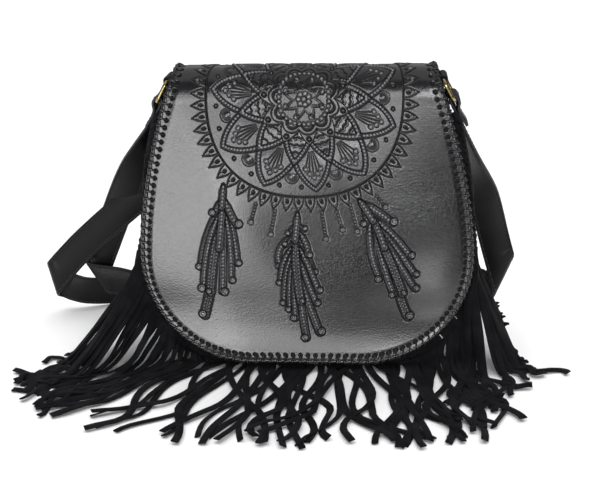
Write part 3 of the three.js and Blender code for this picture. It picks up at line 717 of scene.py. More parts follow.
# Feather strands: start, bend and end of each in x and s, half width, and curl radius with its side.
# They are laid from the back to the front, the quill last.
FEATHERS = (
    (
        (-85, 166, -88, 182, -92, 196, 4.4, 4.2, -1), (-75, 96, -91, 122, -94, 151, 3.0, 3.6, -1),
        (-70, 96, -62, 120, -61, 147, 3.0, 3.4, 1), (-76, 102, -91, 134, -92, 171, 3.1, 4.2, -1),
        (-70, 104, -65, 135, -67, 163, 3.0, 3.4, 1), (-73, 104, -73, 140, -75, 174, 3.2, 4.2, 1),
        (-77, 116, -84, 148, -86, 174, 4.4, 3.2, -1), (-73, 94, -74, 110, -77, 134, 3.2, 0, -1),
        (-75, 90, -78, 98, -81, 102, 2.6, 3.6, -1), (-70, 90, -67, 102, -60, 112, 3.2, 4.0, 1),
        (-71.5, 76, -72.5, 86, -73.5, 96, 2.9, 0, 1),
    ),
    (
        (-7, 150, -4, 192, 1, 216, 3.3, 3.8, -1), (-4, 160, 5, 192, 13, 211, 3.6, 4.0, 1),
        (-9, 120, -29, 134, -22, 149, 2.9, 3.4, -1), (-12, 132, -23, 150, -22, 165, 2.6, 3.1, -1),
        (-12, 138, -20, 162, -19, 184, 2.7, 3.1, -1), (-10, 142, -16, 168, -14, 190, 2.7, 3.1, -1),
        (-8, 146, -11, 174, -9, 198, 2.9, 3.6, -1), (-5, 124, 4, 142, 8, 155, 2.7, 3.1, 1),
        (-5, 132, 5, 152, 12, 172, 2.9, 3.5, 1), (-6, 140, 2, 164, 10, 184, 2.9, 3.5, 1),
        (-8, 126, -9, 152, -4, 182, 4.0, 2.9, 1), (-9, 120, -13, 127, -17, 130, 2.1, 2.9, -1),
        (-8, 112, -12, 117, -14, 120, 2.0, 2.7, -1), (-5, 118, 3, 128, 3, 139, 2.8, 3.3, 1),
        (-6, 112, -3, 114, 0, 116, 2.0, 2.7, 1), (-6, 101, -7, 112, -8.5, 126, 3.1, 0, 1),
    ),
    (
        (79, 150, 84, 180, 92, 196, 4.2, 4.2, 1), (58, 106, 56, 140, 67, 160, 3.0, 3.8, -1),
        (61, 110, 68, 146, 79, 175, 3.1, 3.4, -1), (60, 104, 80, 120, 94, 140, 3.0, 3.5, 1),
        (62, 110, 84, 134, 98, 157, 3.0, 3.3, 1), (64, 114, 84, 146, 98, 170, 3.0, 3.5, 1),
        (65, 120, 80, 152, 87, 174, 4.2, 3.1, 1), (59, 104, 66, 116, 71, 132, 3.2, 0, 1),
        (52, 98, 57, 105, 54, 111, 2.6, 3.4, -1), (52, 92, 66, 99, 78, 110, 3.2, 4.2, 1),
        (48.5, 89, 54, 96, 61, 108, 3.0, 0, 1),
    ),
)

# Dotted strings: start and end in x and s
STRINGS = (
    (-42.9, 93, -47.6, 109.5),
    (-25.8, 99.5, -30, 120.5),
    (15.8, 101, 19.2, 124.5),
    (28.8, 100, 34, 116),
    (40.8, 93.5, 47, 117.5),
    (64.6, 86, 71.7, 95.5),
)


def strand(field, row):
    """A bent feather strand: two border lines, beads between them and a spiral curl at its end.

    Its middle is a quadratic curve; a point's place is its nearest sample's number and its side distance.
    """
    x0, s0, x1, s1, x2, s2, half, curl, side = row
    t = np.linspace(0, 1, 70)[:, None]
    line = (1 - t) ** 2 * [x0, s0] + 2 * t * (1 - t) * np.array([x1, s1]) + t**2 * [x2, s2]
    low, high = line.min(0) - half - 2, line.max(0) + half + 2
    at = np.flatnonzero(
        (field.x > low[0]) & (field.x < high[0]) & (field.s > low[1]) & (field.s < high[1])
    )
    gap = np.hypot(field.x[at][:, None] - line[:, 0], field.s[at][:, None] - line[:, 1])
    nearest = gap.argmin(1)
    side_gap = gap.min(1)
    length = np.linalg.norm(np.diff(line, axis=0), axis=1).sum()
    share = nearest / 69
    width = half * held(0.45 + 2.2 * share)
    body = side_gap < width
    field.high[at[body]] = 0.0 + 0.12 * np.sqrt(1 - held(side_gap / width)[body] ** 2)
    # The strand's body gets a little painted shade
    field.cut[at[body]] = 0.1
    rows = 2 if half > 3.8 else 1
    count = max(2, round(length / 3.3))
    along = ((share * count) % 1 - 0.5) * length / count
    lane = np.abs(side_gap - (0.5 * half if rows == 2 else 0))
    spot = np.hypot(along, lane)
    here = body & (spot < 2.4)
    field.bead(at, spot, 1.15 if rows == 2 else min(1.5, 0.52 * half), 0.8, here)
    border = np.abs(side_gap - width)
    here = border < 0.95
    field.groove(at, border, 0.85, 0.75, here)
    if curl:
        way = line[-1] - line[-4]
        way = way / np.linalg.norm(way)
        centre = line[-1] + 0.45 * curl * np.array([way[1], -way[0]]) * side
        spiral(field, centre, 0.88 * curl)


def spiral(field, centre, radius):
    """A curled strand end: a pressed ring, a raised turn inside it and a pit in its middle."""
    at = field.near(*centre, radius + 1.5)
    distance = np.hypot(field.x[at] - centre[0], field.s[at] - centre[1])
    inside = distance < radius
    field.high[at[inside]] = 0.3
    # A faint painted highlight on the raised turn
    field.cut[at[inside]] = -0.2
    field.groove(at, distance - radius, 0.7, 0.75)
    field.groove(at, distance, 0.6 * radius, 0.6)
    near = distance < 0.34 * radius
    field.bead(at, distance, 0.32 * radius, 0.4, near)


def string_of_dots(field, row):
    """A straight row of small beads that ends in a larger knob."""
    x0, s0, x1, s1 = row
    length = math.hypot(x1 - x0, s1 - s0)
    count = round(length / 3.1)
    for share in np.arange(count) / count:
        x, s = x0 + (x1 - x0) * share, s0 + (s1 - s0) * share
        at = field.near(x, s, 2.6)
        field.bead(at, np.hypot(field.x[at] - x, field.s[at] - s), 0.95, 0.4)
    field.knob(x1, s1, 2.0)


def tooled_relief(x, s, holes, depth):
    """Height, and painted shade and highlight value, of the whole tooled face at points x, s."""
    field = Field(x, s)
    mandala(field)
    for feather in FEATHERS:
        for row in feather:
            strand(field, row)
    for row in STRINGS:
        string_of_dots(field, row)
    field.high *= 1.4 * depth
    edge = edge_distance(x, s)
    wave = np.sin(x / 31 + 0.7 + s / 90) * np.sin(s / 37 - x / 120 + 0.4) + 0.6 * np.sin(x / 19 - s / 26 + 2.0)
    across = held(1 - (np.abs(x) / HALF) ** 3)
    down = held(np.minimum(s + 60, 236 - s) / 60)
    field.high += 0.75 * (wave + 1.6) * across * down * down * (3 - 2 * down)
    field.high -= 0.9 * held(1 - edge / 1.5) ** 2
    field.high -= 0.5 * held(1 - np.abs(edge - 4.5) / 5.5)
    # Lace holes: pits, darkened with painted shade
    for hole_x, hole_s in holes:
        at = field.near(hole_x, hole_s, 3.2)
        distance = np.hypot(field.x[at] - hole_x, field.s[at] - hole_s)
        field.pit(at, distance, 2.1, 1.5)
    return field.high, field.cut


def lace_stations(pitch):
    """Places of the stitches round the sheet's edge: in x and s, the hole's too, and the edge's frame."""
    line = edge_line()
    count = round(travelled(np.vstack([line, line[:1]]))[-1] / pitch)
    fine = resample(line, count * 8, closed=True)
    places = fine[::8]
    way = unit(np.roll(fine, -4, axis=0) - np.roll(fine, 4, axis=0))[::8]
    inward = np.stack([-way[:, 1], way[:, 0]], -1)
    inward *= np.sign(np.sum(inward * (np.array([0, -40]) - places), 1))[:, None]
    point, normal = sheet_surface(fine[:, 0], fine[:, 1])
    along = unit(np.roll(point, -4, axis=0) - np.roll(point, 4, axis=0))
    out = unit(np.cross(normal, along))
    return places, places + 6.3 * inward, (point[::8], along[::8], out[::8], normal[::8])


def sheet_skin(name, from_s, to_s, rows, columns, last, holes, depth, material):
    """One stretch of the sheet's outer face: the middle surface raised along its normal by the relief.

    Columns are shares of the half width. One further row on each side, left out of the mesh, gives its
    edge the same normals as the next stretch. The outermost columns and rows turn in over the edge.
    """
    step = (to_s - from_s) / rows
    s = from_s + np.arange(-1, rows + 2) * step
    s = np.clip(s, PATH_S[0], PATH_S[-1])
    share = np.linspace(-1, 1, columns)
    x = share * sheet_half(s)[:, None]
    ss = np.broadcast_to(s[:, None], x.shape)
    high, cut = tooled_relief(x.ravel(), ss.ravel(), holes, depth)
    point, normal = sheet_surface(x.ravel(), ss.ravel())
    point = (point + normal * (SHEET / 2 + high)[:, None]).reshape(*x.shape, 3)
    down, across = np.gradient(point, axis=0), np.gradient(point, axis=1)
    face = unit(np.cross(down, across))
    point, face = point[1:-1], face[1:-1]
    cut = cut.reshape(x.shape)[1:-1]
    turned = point - normal.reshape(*x.shape, 3)[1:-1] * TURN_IN
    point = np.concatenate([turned[:, :1], point, turned[:, -1:]], 1)
    if last:
        point = np.concatenate([point, point[-1:] + [0, TURN_IN, 0]])
    face = np.pad(face, ((0, last), (1, 1), (0, 0)), mode="edge").reshape(-1, 3)
    # The rims turned in over the edge, and the last row, get full painted shade
    cut = np.pad(cut, ((0, last), (1, 1)), constant_values=1).ravel()
    points, faces = point.reshape(-1, 3), grid_faces(*point.shape[:2])
    make_piece(name, points, faces, material, ("back_and_flap",), {"groove": cut}, face)


def closed_sheet(surface, normals, thick):
    """Points and faces of leather of one thickness about a grid of points, closed all round."""
    rows, columns = surface.shape[:2]
    outer, inner = surface + normals * thick / 2, surface - normals * thick / 2
    points = np.concatenate([outer.reshape(-1, 3), inner.reshape(-1, 3)])
    at = np.arange(rows * columns).reshape(rows, columns)
    front = grid_faces(rows, columns)
    size = rows * columns
    border = np.concatenate([at[0, :-1], at[:-1, -1], at[-1, :0:-1], at[:0:-1, 0]])
    following = np.roll(border, -1)
    rim = np.stack([border, border + size, following + size, following], -1)
    return points, outward(points, np.concatenate([front, front[:, ::-1] + size, rim[:, ::-1]]))


def grid_normals(grid):
    """Unit normals of a grid of points."""
    return unit(np.cross(np.gradient(grid, axis=0), np.gradient(grid, axis=1)))


class SheetSettings(bpy.types.PropertyGroup):
    relief: bpy.props.FloatProperty(
        name="Tooling relief", description="Depth of the tooled pattern, as a factor", default=1.0, min=0, max=2
    )


class LaceSettings(bpy.types.PropertyGroup):
    pitch: bpy.props.FloatProperty(
        name="Stitch pitch", description="Distance between lace holes", default=0.0068, unit="LENGTH"
    )
    width: bpy.props.FloatProperty(
        name="Lace width", description="Width of the flat lace", default=0.0046, unit="LENGTH"
    )


class FringeSettings(bpy.types.PropertyGroup):
    pitch: bpy.props.FloatProperty(
        name="Strip pitch", description="Distance between strips along the seam", default=0.0053, unit="LENGTH"
    )
    width: bpy.props.FloatProperty(
        name="Strip width", description="Width of a suede strip", default=0.0061, unit="LENGTH"
    )
    length: bpy.props.FloatProperty(
        name="Strip length", description="Length of a suede strip", default=0.178, unit="LENGTH"
    )
    seed: bpy.props.IntProperty(name="Seed", description="Seed of the strips' chance bends", default=7)


class StrapSettings(bpy.types.PropertyGroup):
    width: bpy.props.FloatProperty(name="Strap width", description="Width of the strap", default=0.030, unit="LENGTH")
    stitch: bpy.props.FloatProperty(
        name="Stitch length", description="Length of a stitch along the strap's edge", default=0.0028, unit="LENGTH"
    )


class StageSettings(bpy.types.PropertyGroup):
    brightness: bpy.props.FloatProperty(
        name="Studio brightness", description="Factor on all lights", default=1.0, min=0, max=4
    )


# The sheet's stretches: name, path lengths it runs between, rows, columns, and whether it is the last
STRETCHES = (
    ("tooled_face_lower", 158.0, PATH_S[-1], 146, 560, True),
    ("tooled_face_middle", 77.0, 158.0, 150, 560, False),
    ("tooled_face_upper", -6.0, 77.0, 154, 540, False),
    ("tooled_fold", -118.0, -6.0, 170, 350, False),
    ("tooled_back", PATH_S[0], -118.0, 120, 180, False),
)


class BAG_OT_sheet(bpy.types.Operator):
    """Tooled back and flap: outer face in five stretches over the leather's body"""

    bl_idname = "bag.sheet"
    bl_label = "Build tooled back and flap"

    def execute(self, context):
        tooled = tooled_leather()
        _, holes, _ = lace_stations(context.scene.bag_lace.pitch * 1000)
        for stretch in STRETCHES:
            sheet_skin(*stretch, holes, context.scene.bag_sheet.relief, tooled)
        back = np.linspace(PATH_S[0], -FOLD_LENGTH, 50)
        fold = np.linspace(-FOLD_LENGTH, 0, 24)[1:-1]
        s = np.concatenate([back, fold, np.linspace(0, PATH_S[-1], 60)])
        x = np.linspace(-1, 1, 41) * (sheet_half(s)[:, None] - 0.5)
        point, normal = sheet_surface(x, np.broadcast_to(s[:, None], x.shape))
        points, faces = closed_sheet(point - normal * 0.6, normal, SHEET - 1.2)
        make_piece("sheet_body", points, faces, flesh_side(), ("back_and_flap",))
        return {"FINISHED"}


# The lace's three runs at each hole, with their width as a share of the lace's and their thickness. A
# station is its way along the edge, out from it and off the leather, its facing in the last two, and its
# share of the run's width.
LACE_RUNS = (
    (0.42, 1.0, ((0, -6.6, -0.9, -0.9, 0.5, 0.75), (0, -5.6, 0.7, -0.5, 1, 0.95), (0.1, -4.2, 1.7, -0.1, 1, 0.9))
        + ((0.3, -2.4, 2.5, 0, 1, 0.9), (0.5, -0.6, 2.9, 0.2, 1, 0.9), (0.7, 1.0, 2.0, 0.8, 0.7, 0.9))
        + ((0.8, 1.7, -0.1, 1, 0, 0.9), (0.7, 0.9, -2.1, 0.6, -0.8, 0.9), (0.4, -2.5, -2.6, 0, -1, 0.9))
        + ((0.2, -5.9, -1.1, -0.8, -0.5, 0.6),)),
    (0.74, 1.1, ((0.2, -1.5, 0.9, 0.2, 1, 0.7), (0.9, -1.2, 1.7, 0.3, 1, 0.95), (2.4, -0.9, 2.0, 0.4, 1, 1))
        + ((4.6, -0.5, 2.0, 0.5, 1, 1), (6.2, 0.0, 1.8, 0.6, 1, 0.95), (7.1, 0.2, 1.0, 0.7, 1, 0.7))),
    (0.74, 1.0, ((-0.2, -1.2, -1.4, 0.3, -1, 0.7), (1.6, -0.8, -2.0, 0.4, -1, 1))
        + ((4.8, -0.2, -2.0, 0.5, -1, 1), (6.8, 0.2, -1.3, 0.6, -1, 0.7))),
)


class BAG_OT_lacing(bpy.types.Operator):
    """Edge lacing: a lace from each hole over the edge to the back, and a braid along the rim"""

    bl_idname = "bag.lacing"
    bl_label = "Build edge lacing"

    def execute(self, context):
        settings = context.scene.bag_lace
        _, _, (point, along, out, normal) = lace_stations(settings.pitch * 1000)
        points, faces, first = [], [[], []], 0
        for share, thick, stations in LACE_RUNS:
            ahead, beside, off, face_out, face_off, width = np.array(stations, float).T[..., None]
            path = point[:, None] + along[:, None] * ahead + out[:, None] * beside + normal[:, None] * off
            face = out[:, None] * face_out + normal[:, None] * face_off
            widths = width[:, 0] * share * settings.width * 1000
            tube, groups = closed_sweeps(ribbons(path, face, widths, thick))
            points.append(tube)
            for kind, group in zip(faces, groups):
                kind.append(group + first)
            first += len(tube)
        points = np.concatenate(points)
        points[:, 2] = np.maximum(points[:, 2], LEAST_HEIGHT)
        faces = [np.concatenate(kind) for kind in faces]
        make_piece("lacing", points, faces, lace_leather(), ("edge_lacing",))
        return {"FINISHED"}


def pouch_outline(width, foot, top, corner_steps, side_steps):
    """The pouch's outline from its left end at height top, round the base, to its right end: x, z."""
    z = corner_heights(foot, top, corner_steps, side_steps)
    right = np.stack([width(z), z], -1)
    base = np.stack([np.linspace(-0.9, 0.9, 9) * BASE / 2, np.full(9, foot)], -1)
    return np.vstack([right[::-1] * [-1, 1], base, right])


class BAG_OT_pouch(bpy.types.Operator):
    """Front panel and gusset: plain leather, the gusset creased between its two seams"""

    bl_idname = "bag.pouch"
    bl_label = "Build pouch"

    def execute(self, context):
        plain = body_leather()
        z = corner_heights(0.3, 236.0, 40, 50)
        share = np.linspace(-1, 1, 61)
        x = share * seam_half_width(z, 0.3, 0.3)[:, None]
        zz = np.broadcast_to(z[:, None], x.shape)
        y = panel_y(x, zz)
        panel = np.stack([x, y, zz], -1)
        points, faces = closed_sheet(panel, grid_normals(panel), PANEL)
        make_piece("pouch_front", points, faces, plain, ("front_panel",))

        inset = 3.2
        front = pouch_outline(lambda h: seam_half_width(h, inset, 1.0), 1.0, 244.0, 36, 60)
        back = pouch_outline(lambda h: half_width(h, HALF - inset, 1.0), 1.0, 244.0, 36, 60)
        across = np.linspace(0, 1, 25)
        front_y = panel_y(front[:, 0], front[:, 1]) + PANEL / 2 + SEAM_GAP
        back_end = back_y(back[:, 1]) - 2.75 - SEAM_GAP
        climb = held((front[:, 1] - 1) / (TAB_FOOT - 1))
        crease = 5 * np.sin(np.pi * climb) * np.sign(front[:, 0])
        fold = np.sin(np.pi * across) + 0.22 * np.sin(3 * np.pi * across)
        ripple = 0.8 * np.sin(front[:, 1] / 11)[:, None] * np.sin(2 * np.pi * across) * np.sin(np.pi * climb)[:, None]
        gx = front[:, :1] * (1 - across) + back[:, :1] * across - crease[:, None] * fold
        gx = gx - ripple * np.sign(front[:, :1])
        gy = front_y[:, None] * (1 - across) + back_end[:, None] * across
        gz = np.broadcast_to(front[:, 1:2], gx.shape)
        gusset = np.stack([gx, gy, gz], -1)
        points, faces = closed_sheet(gusset, grid_normals(gusset), 2.0)
        make_piece("pouch_gusset", points, faces, plain, ("gusset",))
        return {"FINISHED"}


# Strips' way: share along the seam, degrees from straight to the front, their chance spread, and flare
FAN = np.array(
    [
        (0, -112, 12, 0.35),
        (0.07, -92, 12, 0.45),
        (0.12, -60, 9, 0.8),
        (0.2, -52, 8, 0.9),
        (0.3, -46, 9, 0.9),
        (0.35, -38, 10, 0.6),
        (0.41, -20, 18, 0.32),
        (0.5, 2, 22, 0.32),
        (0.6, 8, 18, 0.32),
        (0.68, 7, 9, 0.3),
        (0.76, 8, 8, 0.25),
        (0.79, 10, 8, 0.3),
        (0.82, 40, 8, 0.5),
        (0.86, 56, 7, 0.55),
        (0.92, 66, 9, 0.5),
        (0.94, 98, 10, 0.45),
        (1, 122, 14, 0.3),
    ]
)
SUEDE = 1.4


class BAG_OT_fringe(bpy.types.Operator):
    """Suede fringe: a header in the front seam, cut into strips that fall, spread and curl on the floor"""

    bl_idname = "bag.fringe"
    bl_label = "Build fringe"

    def execute(self, context):
        settings = context.scene.bag_fringe
        nap = suede()
        seam = pouch_outline(lambda h: seam_half_width(h, 0, 1.5), 1.5, 230.0, 40, 60)
        seam = resample(seam, 400)
        way = unit(np.gradient(seam, axis=0))
        inward = np.stack([-way[:, 1], way[:, 0]], -1)

        def header_point(inset):
            xz = seam + inward * inset
            y = panel_y(xz[:, 0], xz[:, 1]) - PANEL / 2 - SEAM_GAP - 0.75
            return np.stack([xz[:, 0], y, xz[:, 1]], -1)

        rows = np.stack([header_point(inset) for inset in (-3.5, -1.5, 1.0, 4.0, 7.5)], 1)
        rows[..., 2] = np.maximum(rows[..., 2], [0.9, 1.6, 2.4, 3.3, 4.3])
        points, faces = closed_sheet(rows, grid_normals(rows), 1.5)
        make_piece("fringe_header", points, faces, nap, ("fringe",))

        edge, inner = header_point(0.0), header_point(8.0)
        length = travelled(edge)
        count = round(length[-1] / (settings.pitch * 1000))
        chance = np.random.default_rng(settings.seed)
        at = (np.arange(count) + 0.5) / count * length[-1]
        root = sampled(edge * 0.7 + inner * 0.3, length, at)
        out = unit(sampled(edge - inner, length, at))
        tangent = unit(sampled(np.gradient(edge, axis=0), length, at))
        share = at / length[-1]
        way, spread, flare = (np.interp(share, FAN[:, 0], column) for column in FAN[:, 1:].T)
        turn = np.radians(way + chance.normal(0, 1, count) * spread)
        paths, facing, widths = strip_paths(root, out, tangent, turn, flare, settings.length * 1000, chance)
        sections = ribbons(paths, facing, widths * settings.width * 1000, SUEDE, FLAT)
        points, faces = closed_sweeps(sections)
        points[:, 2] = np.maximum(points[:, 2], LEAST_HEIGHT)
        make_piece("fringe_strips", points, faces, nap, ("fringe",))
        return {"FINISHED"}


def strip_paths(root, out, tangent, turn, flare, reach, chance):
    """Middle lines, facing and widths of the strips.

    Each goes out of the seam, bends down, falls with a flare near its foot, and runs out along the floor for
    what is left of its length, with a wave and a slow twist of its own.
    """
    count = len(root)
    way = np.stack([np.sin(turn), -np.cos(turn), 0 * turn], -1)
    level = np.stack([np.cos(turn), np.sin(turn), 0 * turn], -1)
    floor = SUEDE / 2 + 0.3 + chance.uniform(0, 2.4, count)
    bend = root + out * 7.0
    bend[:, 2] = np.maximum(bend[:, 2], floor)
    length = reach * chance.uniform(0.93, 1.03, count) - 9
    low = np.maximum(floor, bend[:, 2] - 0.97 * length)
    flare_top = np.minimum(bend[:, 2], 90)
    side = np.where(
        bend[:, 2] > WIDEST, np.maximum(np.abs(bend[:, 0]), seam_half_width(bend[:, 2], -3.0, 0)), np.abs(bend[:, 0])
    )
    clear = np.where(bend[:, 2] > 90, np.abs(level[:, 1]) * 3.3, 0)

    def ahead(z):
        return 1.5 + 0.04 * (bend[:, 2] - np.maximum(z, flare_top)) + flare * (flare_top - np.minimum(z, flare_top))

    def place(z, further):
        beside = np.where(
            bend[:, 2] > WIDEST,
            np.maximum(np.abs(bend[:, 0]), seam_half_width(np.maximum(z, WIDEST), -3.0, 0)),
            side,
        )
        slide = clear + 0.24 * (bend[:, 2] - np.maximum(z, flare_top))
        p = np.stack([np.sign(bend[:, 0]) * beside, bend[:, 1] + slide, z], -1)
        return p + way * (ahead(z) + further)[:, None]

    left = np.maximum(0, length - np.hypot(bend[:, 2] - low, ahead(low))) * 0.92
    fall = [bend[:, 2] + (low - bend[:, 2]) * share for share in (0.3, 0.6, 0.85)]
    knots = [root, bend] + [place(z, 0 * left) for z in fall]
    knots += [place(low, share * np.maximum(left, 3)) for share in (0.12, 0.35, 0.6, 0.8, 1.0)]
    knots = np.stack(knots, 1)
    curve = smooth_through(knots, 4)
    stations = curve.shape[1]
    t = np.linspace(0, 1, stations)
    lying = held((t - 0.5) / 0.5) * np.minimum(left / 60, 1)[:, None]
    hanging = held(t / 0.25) * (1 - lying)
    wave = chance.uniform(5, 16, (count, 1)) * held(1.6 * lying)
    phase = chance.uniform(0, 2 * np.pi, (count, 1))
    turns = chance.uniform(1.2, 2.7, (count, 1))
    bow = chance.normal(0, 7.0, (count, 1)) * lying**2
    sway = wave * (np.sin(2 * np.pi * turns * t + phase) - np.sin(np.pi * turns + phase)) + bow
    sway = sway + hanging * chance.uniform(0.4, 1.8, (count, 1)) * np.sin(5 * np.pi * t + phase)
    curve = curve + level[:, None] * sway[..., None]
    lift = chance.uniform(0, 2.5, (count, 1)) * lying * (0.5 + 0.5 * np.sin(6 * np.pi * t * turns + 2 * phase))
    curve[..., 2] += lift
    twist = lying * chance.normal(0, 0.32, (count, 1)) + hanging * 0.25 * np.sin(3 * np.pi * t + phase)
    turned = held((t - 0.12) / 0.3)[None, :, None]
    across = unit(tangent[:, None] * (1 - turned) + level[:, None] * turned)
    along = unit(np.gradient(curve, axis=1))
    face = unit(np.cross(along, across))
    across = unit(np.cross(face, along))
    facing = face * np.cos(twist)[..., None] + across * np.sin(twist)[..., None]
    widths = chance.uniform(0.85, 1.15, (count, 1)) * np.ones((1, stations))
    return curve, facing, widths


def turn_over(start, heading, width_way, axis, toward, radius, margin_width, steps):
    """Stations of a band that folds over about an axis in its own plane, with a square one at each end.

    In the bend the middle goes round a half circle while it drifts along the axis, and the line across the
    band lies along the axis, lengthened by the fold's slant.
    """
    lead = heading @ axis
    ahead = heading - axis * lead
    reach = np.linalg.norm(ahead)
    ahead = ahead / reach
    angle = np.linspace(0, np.pi, steps + 1)[:, None]
    bend = start + ahead * radius * np.sin(angle) + toward * radius * (1 - np.cos(angle))
    bend = bend + axis * lead * radius * angle / reach
    slant = axis * np.sign(width_way @ axis) / reach
    margin = (abs(lead) / reach + 0.2) * margin_width / 2

    def turned(v):
        return v - ahead * 2 * (v @ ahead)

    before = (start - heading * margin, width_way, heading, False)
    after = (bend[-1] + turned(heading) * margin, turned(width_way), turned(heading), False)
    return [before] + [(p, slant, None, True) for p in bend] + [after]


# The strap's folds behind the bag: x as a share of half the width, y behind the back's foot and z as shares
# of the strap's width, its way before and after in degrees, and which way in y it turns over
STRAP_FOLDS = (
    (-1.522, 1.5, 1.53, 247, 353, -1),
    (-0.85, 1.1, 0.62, 0, 90, -1),
    (-0.82, -0.1, 5.55, 90, 223, 1),
    (-1.803, 1.1, 1.32, 228, 336, 1),
    (-1.3, 1.933, 0.52, 0, 0, 0),
    (0.7, 1.667, 0.52, 0, 0, 0),
    (1.202, 1.3, 1.133, 29, 106, -1),
)
STRAP = 2.6


def run_between(first, second, steps, ease, early=1.0):
    """Stations of a smooth run between two others: Hermite middle, width way eased from one to the other.

    early below 1 lets most of the twist come near the run's start.
    """
    (p, w, t, _), (q, v, u, _) = first, second
    reach = np.linalg.norm(q - p) * ease
    s = np.arange(1, steps)[:, None] / steps
    middle = p * (2 * s**3 - 3 * s**2 + 1) + t * reach * (s**3 - 2 * s**2 + s)
    middle = middle + q * (3 * s**2 - 2 * s**3) + u * reach * (s**3 - s**2)
    ways = w + (v - w) * eased(s**early)
    return [(a, b, None, False) for a, b in zip(middle, ways)]


def ring_hang(side):
    """Middle of a ring's upper bar, and the way that the ring hangs from it."""
    bar = np.array([side * RING_BAR[0], 0, RING_BAR[1]])
    return bar, np.array([side * math.sin(HANG), 0, -math.cos(HANG)])


def strap_end(side, width):
    """The end round a ring's lower bar: up the turned end, over the bar and down."""
    bar, down = ring_hang(side)
    bar = bar + down * BAR_SPACING
    out = np.array([side * math.cos(HANG), 0, math.sin(HANG)])
    radius = WIRE + 0.3 + STRAP / 2
    across = np.array([0, 1.0 if side < 0 else -1.0, 0])
    close = STRAP + 0.6 - radius
    tip = (bar + down * 26 + out * close, across, None, False)
    knee = (bar + down * 9.1 + out * close, across, None, False)
    over = turn_over(bar + out * radius, -down, across, np.array([0, 1.0, 0]), -out, radius, width, 6)
    return [tip, knee] + over


def strap_edges(width):
    """Left and right edge lines of the strap from its left end to its right one, smoothed."""
    left, right = strap_end(-1, width), strap_end(1, width)[::-1]
    right = [(p, w, None if t is None else -t, slanted) for p, w, t, slanted in right]
    stations, last, face = list(left), left[-1], 1
    for k, (x, y, z, before, after, toward) in enumerate(STRAP_FOLDS):
        start = np.array([x * HALF, BACK_FOOT + y * width, z * width])
        a, b = math.radians(before), math.radians(after)
        heading = np.array([math.cos(a), 0, math.sin(a)])
        across = np.array([-face * math.sin(a), 0, face * math.cos(a)])
        crease = unit(heading + np.array([math.cos(b), 0, math.sin(b)]))
        turn = [(start, across, heading, False)]
        if toward:
            turn = turn_over(start, heading, across, crease, np.array([0, float(toward), 0]), 5.0, width, 6)
            face = -face
        stations += run_between(last, turn[0], 5 if k else 9, 0.9, 1.0 if k else 0.6) + turn
        last = turn[-1]
    stations += run_between(last, right[0], 9, 0.9) + right
    middle = np.array([station[0] for station in stations])
    ways = np.array([station[1] for station in stations])
    slanted = np.array([station[3] for station in stations])[:, None]
    along = unit(np.concatenate([middle[1:], middle[-1:]]) - np.concatenate([middle[:1], middle[:-1]]))
    square = unit(ways - along * np.sum(ways * along, 1, keepdims=True))
    ways = np.where(slanted, ways, square) * width / 2
    both = smooth_through(np.stack([middle - ways, middle + ways]), 8)
    return both[0], both[1]


class BAG_OT_strap(bpy.types.Operator):
    """Strap: one band folded round both rings, with rounded burnished edges painted lighter as a painted highlight, a
    crease and stitches
    """

    bl_idname = "bag.strap"
    bl_label = "Build strap"

    def execute(self, context):
        settings = context.scene.bag_strap
        left, right = strap_edges(settings.width * 1000)
        along = unit(np.gradient((left + right) / 2, axis=0))
        across = right - left
        face = unit(np.cross(along, across))
        # share across, and height as a share of half the thickness; the edge value, a painted highlight on the
        # burnished edges, follows from the share across
        profile = np.array(
            [(0, 0.15), (0.006, 0.7), (0.03, 1), (0.075, 1), (0.09, 0.8), (0.105, 1), (0.5, 1.05)]
            + [(0.895, 1), (0.91, 0.8), (0.925, 1), (0.97, 1), (0.994, 0.7), (1, 0.15)]
        )
        under = profile[::-1] * [1, -1]
        profile = np.vstack([profile, under])
        sections = left[:, None] + across[:, None] * profile[:, 0][:, None]
        sections = sections + face[:, None] * profile[:, 1][:, None] * STRAP / 2
        points, faces = closed_sweeps(sections[None])
        # Painted highlight: lighter colour towards the strap's burnished edges
        painted_edge_highlight = -held(1 - np.minimum(profile[:, 0], 1 - profile[:, 0]) / 0.03) * 0.3
        values = np.concatenate([np.tile(painted_edge_highlight, len(left)), [0, 0]])
        make_piece("strap_band", points, faces, strap_leather(), ("strap",), {"edge": values})

        length = travelled((left + right) / 2)
        stitch = settings.stitch * 1000
        pitch = stitch * 1.45
        count = int(length[-1] / pitch) - 2
        at = (np.arange(count) + 1)[:, None] * pitch + np.array([-0.5, -0.35, 0, 0.35, 0.5]) * stitch
        rise = np.array([-0.25, 0.12, 0.22, 0.12, -0.25])[:, None]
        paths, facing = [], []
        base, over, normal = (sampled(values, length, at) for values in (left, across, face))
        for share in (0.09, 0.91):
            for side in (1, -1):
                paths.append(base + over * share + normal * side * (STRAP / 2 - 0.1 + rise))
                facing.append(normal * side)
        sections = ribbons(np.concatenate(paths), np.concatenate(facing), 0.75, 0.5, ROUNDED[::2])
        points, faces = closed_sweeps(sections)
        make_piece("strap_stitches", points, faces, thread("waxed_black_thread"), ("strap",))
        return {"FINISHED"}


